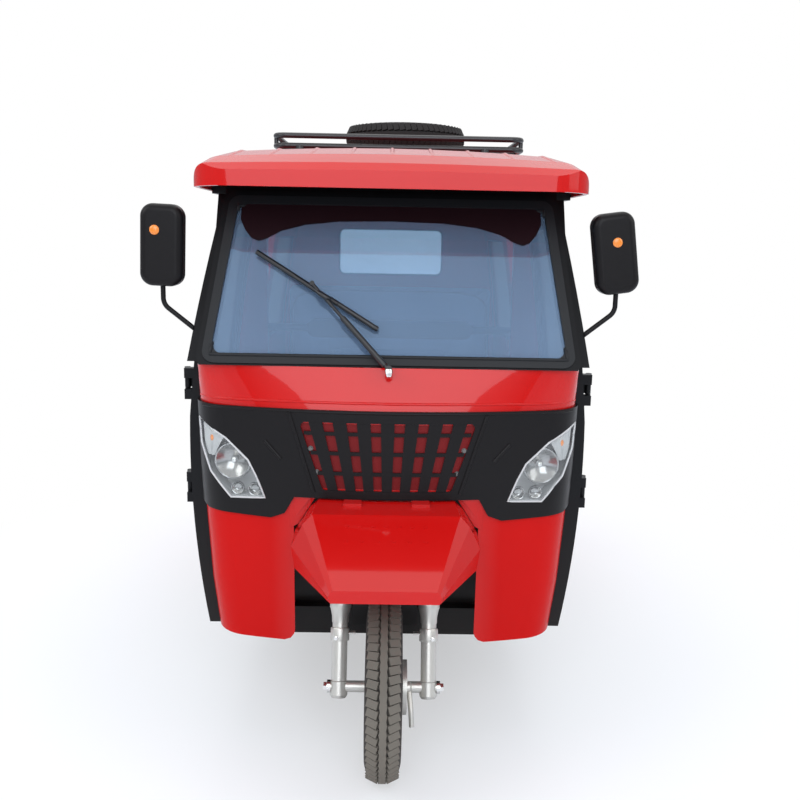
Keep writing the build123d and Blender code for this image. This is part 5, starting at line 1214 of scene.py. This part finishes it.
# %% lamps, plate and beads at the back
wall = skin("rear_wall")
lamps = skin("tail_lamps")
lines = [drop(wall, [(-0.54, 0, z), (0.54, 0, z)], FORWARD, 0.002) for z in (0.96, 1.20)]
lines += [drop(wall, [(x, 0, 0.99), (x, 0, 1.17)], FORWARD, 0.002) for x in (-0.36, -0.12, 0.12, 0.36)]
beads("rear_wall_beads", lines, 0.006, "body", "body_red")
low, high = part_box("tail_lamps")
LAMP_W = 0.092
WINDOW_IN = 0.010
FRAME_OUT = 0.004
WINDOWS = (("amber", 0.772, 0.818, "amber"), ("clear", 0.652, 0.692, "frosted"))
frames = []
for side, word in SIDES:
    outer_x = high[0] if side > 0 else low[0]

    for label, bottom, top, finish in WINDOWS:
        def window(across, height):
            inward = WINDOW_IN + (LAMP_W - 2 * WINDOW_IN) * across
            return (outer_x - side * inward, FAR, bottom + (top - bottom) * height)

        draped(label + "_window_" + word, lamps, 7, 9, window, FORWARD, 0.0012, "body", "lamp_red", finish)
    near, far = sorted((outer_x + side * FRAME_OUT, outer_x - side * (LAMP_W + FRAME_OUT)))
    bottom, top = low[2] - FRAME_OUT, high[2] + FRAME_OUT
    corners = [(near, 0, bottom), (far, 0, bottom), (far, 0, top), (near, 0, top)]
    frames.append(drop(wall, corners + corners[:1], FORWARD, 0.0)[:-1])
beads("tail_lamp_frames", frames, 0.006, "body", "black_plastic", None, 10, loop=True)


def plaque(form, centre, half_w, half_h, depth, power=0.35, count=56):
    """Rounded plate that faces backwards."""
    rings = []
    for inset, y in ((0.0, 0.0), (0.0, depth - 0.001), (0.0015, depth)):
        ring = []
        for across, up in rounded(power, count):
            corner = Vector(((half_w - inset) * across, y, (half_h - inset) * up))
            ring.append(form.verts.new(Vector(centre) + corner))
        rings.append(ring)
    for near, far in zip(rings, rings[1:]):
        for k in range(count):
            j = (k + 1) % count
            form.faces.new((near[k], near[j], far[j], far[k]))
    form.faces.new(rings[-1])
    form.faces.new(rings[0])


PLATE_AT = (0.0, 1.3602, 0.72)
PLATE_FACE_Y = 1.3640
FOOT_SCREW_Z = 0.50
form = bmesh.new()
plaque(form, PLATE_AT, 0.150, 0.080, 0.004)
piece("blank_plate", form, "body", "rim_steel", "plate", sharp=30)
spots = [((x, PLATE_FACE_Y, z), REARWARD) for x in (-0.115, 0.115) for z in (0.66, 0.78)]
for x in np.linspace(-0.48, 0.48, 9):
    spots.append((land(wall, (x, FAR, FOOT_SCREW_Z), FORWARD)[0], REARWARD))
fasten("rear_screws", spots, "body", "fork_silver", "bright", 0.0048, 0.004, 12)

# %% [markdown]
# The driver looks at one round speedometer, and works a lever under each grip, low enough to clear
# the dashboard at full steering. The floor is ribbed so that wet shoes hold.

# %% dial, levers and floor ribs
DIAL_Z = 1.108
CASE = ((0.043, -0.004), (0.043, 0.010), (0.040, 0.013), (0.036, 0.012), (0.036, 0.008))
FACE = ((0.036, 0.0085), (0.010, 0.0085), (0.006, 0.011), (0.0, 0.0112))
MARKS, MARK_RING, FACE_PROUD = 11, 0.029, 0.0085
KNOBS_X = (-0.16, -0.11, 0.11, 0.16)
BAR_Z = 1.046
LEVER = ((0.185, 0.012), (0.205, 0.030), (0.250, 0.036), (0.300, 0.038), (0.325, 0.042))
LEVER_BACK = 0.010
form = bmesh.new()
at, normal = land(skin("dashboard"), (0.0, 0.0, DIAL_Z), FORWARD)
lathe(form, CASE, at, normal, 40)
piece("dial_case", form, "body", "black_plastic")
form = bmesh.new()
lathe(form, FACE, at, normal, 40)
piece("dial_face", form, "body", "rim_steel", "plate", sheet=SHEET)
spots = []
for k in range(MARKS):
    angle = math.radians(-30 + 24 * k)
    mark = Vector((MARK_RING * math.cos(angle), FACE_PROUD, MARK_RING * math.sin(angle)))
    spots.append((at + mark, REARWARD))
fasten("dial_marks", spots, "body", "black_plastic", "black_plastic", 0.0016, 0.0008, 8)
knobs = [(at + Vector((x, 0.0, 0.0)), REARWARD) for x in KNOBS_X]
fasten("dash_knobs", knobs, "body", "black_plastic", "black_plastic", 0.009, 0.010, 20)
bar = skin("handlebar")
levers = []
for side in BOTH:
    path = []
    for x, fall in LEVER:
        at, _ = from_front(bar, side * x, BAR_Z)
        if at is not None:
            path.append(at + Vector((0, LEVER_BACK, -fall)))
    levers.append(spread(path))
beads("hand_levers", levers, 0.0050, "steering", "fork_silver", "bright", 8)
mat = skin("floor_pan")
strips = [drop(mat, [(-0.46, y, 0), (0.46, y, 0)], DOWN, 0.002) for y in np.arange(-0.12, 0.42, 0.06)]
beads("floor_ribs", [strip for strip in strips if len(strip) > 2], 0.005, "body", "seal_rubber", None, 8)

# %% [markdown]
# Two small touches belong to the face of the vehicle: a rubber filler strip in the windscreen seal,
# which locks it round the pane, and the small pressed dimples on top of the mudguard.

# %% seal filler and dimples
seal = skin("windscreen_seal")
low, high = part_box("windscreen_glass")
BASE_HALF, TOP_HALF, FILLER = 0.496, 0.443, 0.004
base, top = low[2] + FILLER, high[2] - FILLER
corners = [(-BASE_HALF - FILLER, 0, base), (BASE_HALF + FILLER, 0, base), (TOP_HALF + FILLER, 0, top),
           (-TOP_HALF - FILLER, 0, top)]
filler = drop(seal, corners + corners[:1], REARWARD, 0.001)[:-1]
beads("seal_filler", [filler], 0.0050, "body", "seal_rubber", None, 8, loop=True)
guard = skin("front_mudguard")
DIMPLE_ROWS = ((-1.22, 7), (-1.27, 6))
DIMPLE_REACH, DIMPLE_SINK = 0.105, 0.0015
dimples = []
for y, count in DIMPLE_ROWS:
    for x in np.linspace(-DIMPLE_REACH, DIMPLE_REACH, count):
        at, normal = land(guard, (x, y, FAR), DOWN)
        if at is not None:
            dimples.append((at - normal * DIMPLE_SINK, normal))
fasten("mudguard_dimples", dimples, "body", "body_red", "body_red", 0.0055, 0.002, 16)

# %% [markdown]
# The wiper is a sprung arm with a hinge cover, and a blade whose rubber sits in a bowed steel back.
# Both follow the CAD wiper's own line, a little proud of it, so they stay parked on the glass.

# %% wiper blade and arm
FOOT, ELBOW = Vector((0.0, 0, 1.150)), Vector((-0.221, 0, 1.376))
BLADE_ENDS = (Vector((-0.385, 0, 1.468)), Vector((-0.034, 0, 1.262)))
ARM_PROUD, BLADE_PROUD = 0.030, 0.012
rod = skin("wiper")


def along_wiper(start, end, proud, sink):
    """Line on the CAD wiper over two points of the glass, for a rod that stands proud of the pane."""
    rise = Vector((0, 0, proud * slope / math.hypot(1.0, slope)))
    return drop(rod, [start + rise, end + rise], REARWARD, sink)


cover = along_wiper(FOOT.lerp(ELBOW, 0.05), FOOT.lerp(ELBOW, 0.60), ARM_PROUD, 0.004)
beads("wiper_arm_cover", [cover], 0.0085, "body", "rack_steel")
beads("wiper_blade_back", [along_wiper(*BLADE_ENDS, BLADE_PROUD, 0.004)], 0.0078, "body", "rack_steel")
middle = BLADE_ENDS[0].lerp(BLADE_ENDS[1], 0.5)
bridge_ends = [middle.lerp(end, 0.35) for end in BLADE_ENDS]
bridge = along_wiper(*bridge_ends, BLADE_PROUD, -0.003)
beads("wiper_bridge", [bridge], 0.0065, "body", "rack_steel")

# %% [markdown]
# Where the mudguard meets the skirts, a pressed corner closes the arch on each side, so that no
# daylight shows past the guard. Each corner is a small flat sheet with rounded edges.

# %% arch corners
GUSSET = ((0.196, 0.802), (0.276, 0.802), (0.276, 0.700), (0.252, 0.712))
GUSSET_Y = -1.056
GUSSET_T = 0.003
form = bmesh.new()
for side in BOTH:
    front = [form.verts.new((side * x, GUSSET_Y, z)) for x, z in GUSSET]
    rear = [form.verts.new((side * x, GUSSET_Y + GUSSET_T, z)) for x, z in GUSSET]
    form.faces.new(front)
    form.faces.new(rear[::-1])
    for k in range(len(GUSSET)):
        j = (k + 1) % len(GUSSET)
        form.faces.new((front[k], rear[k], rear[j], front[j]))
bmesh.ops.bevel(form, geom=list(form.edges), offset=0.001, segments=2, affect="EDGES")
piece("arch_corners", form, "body", "body_red", sharp=50)
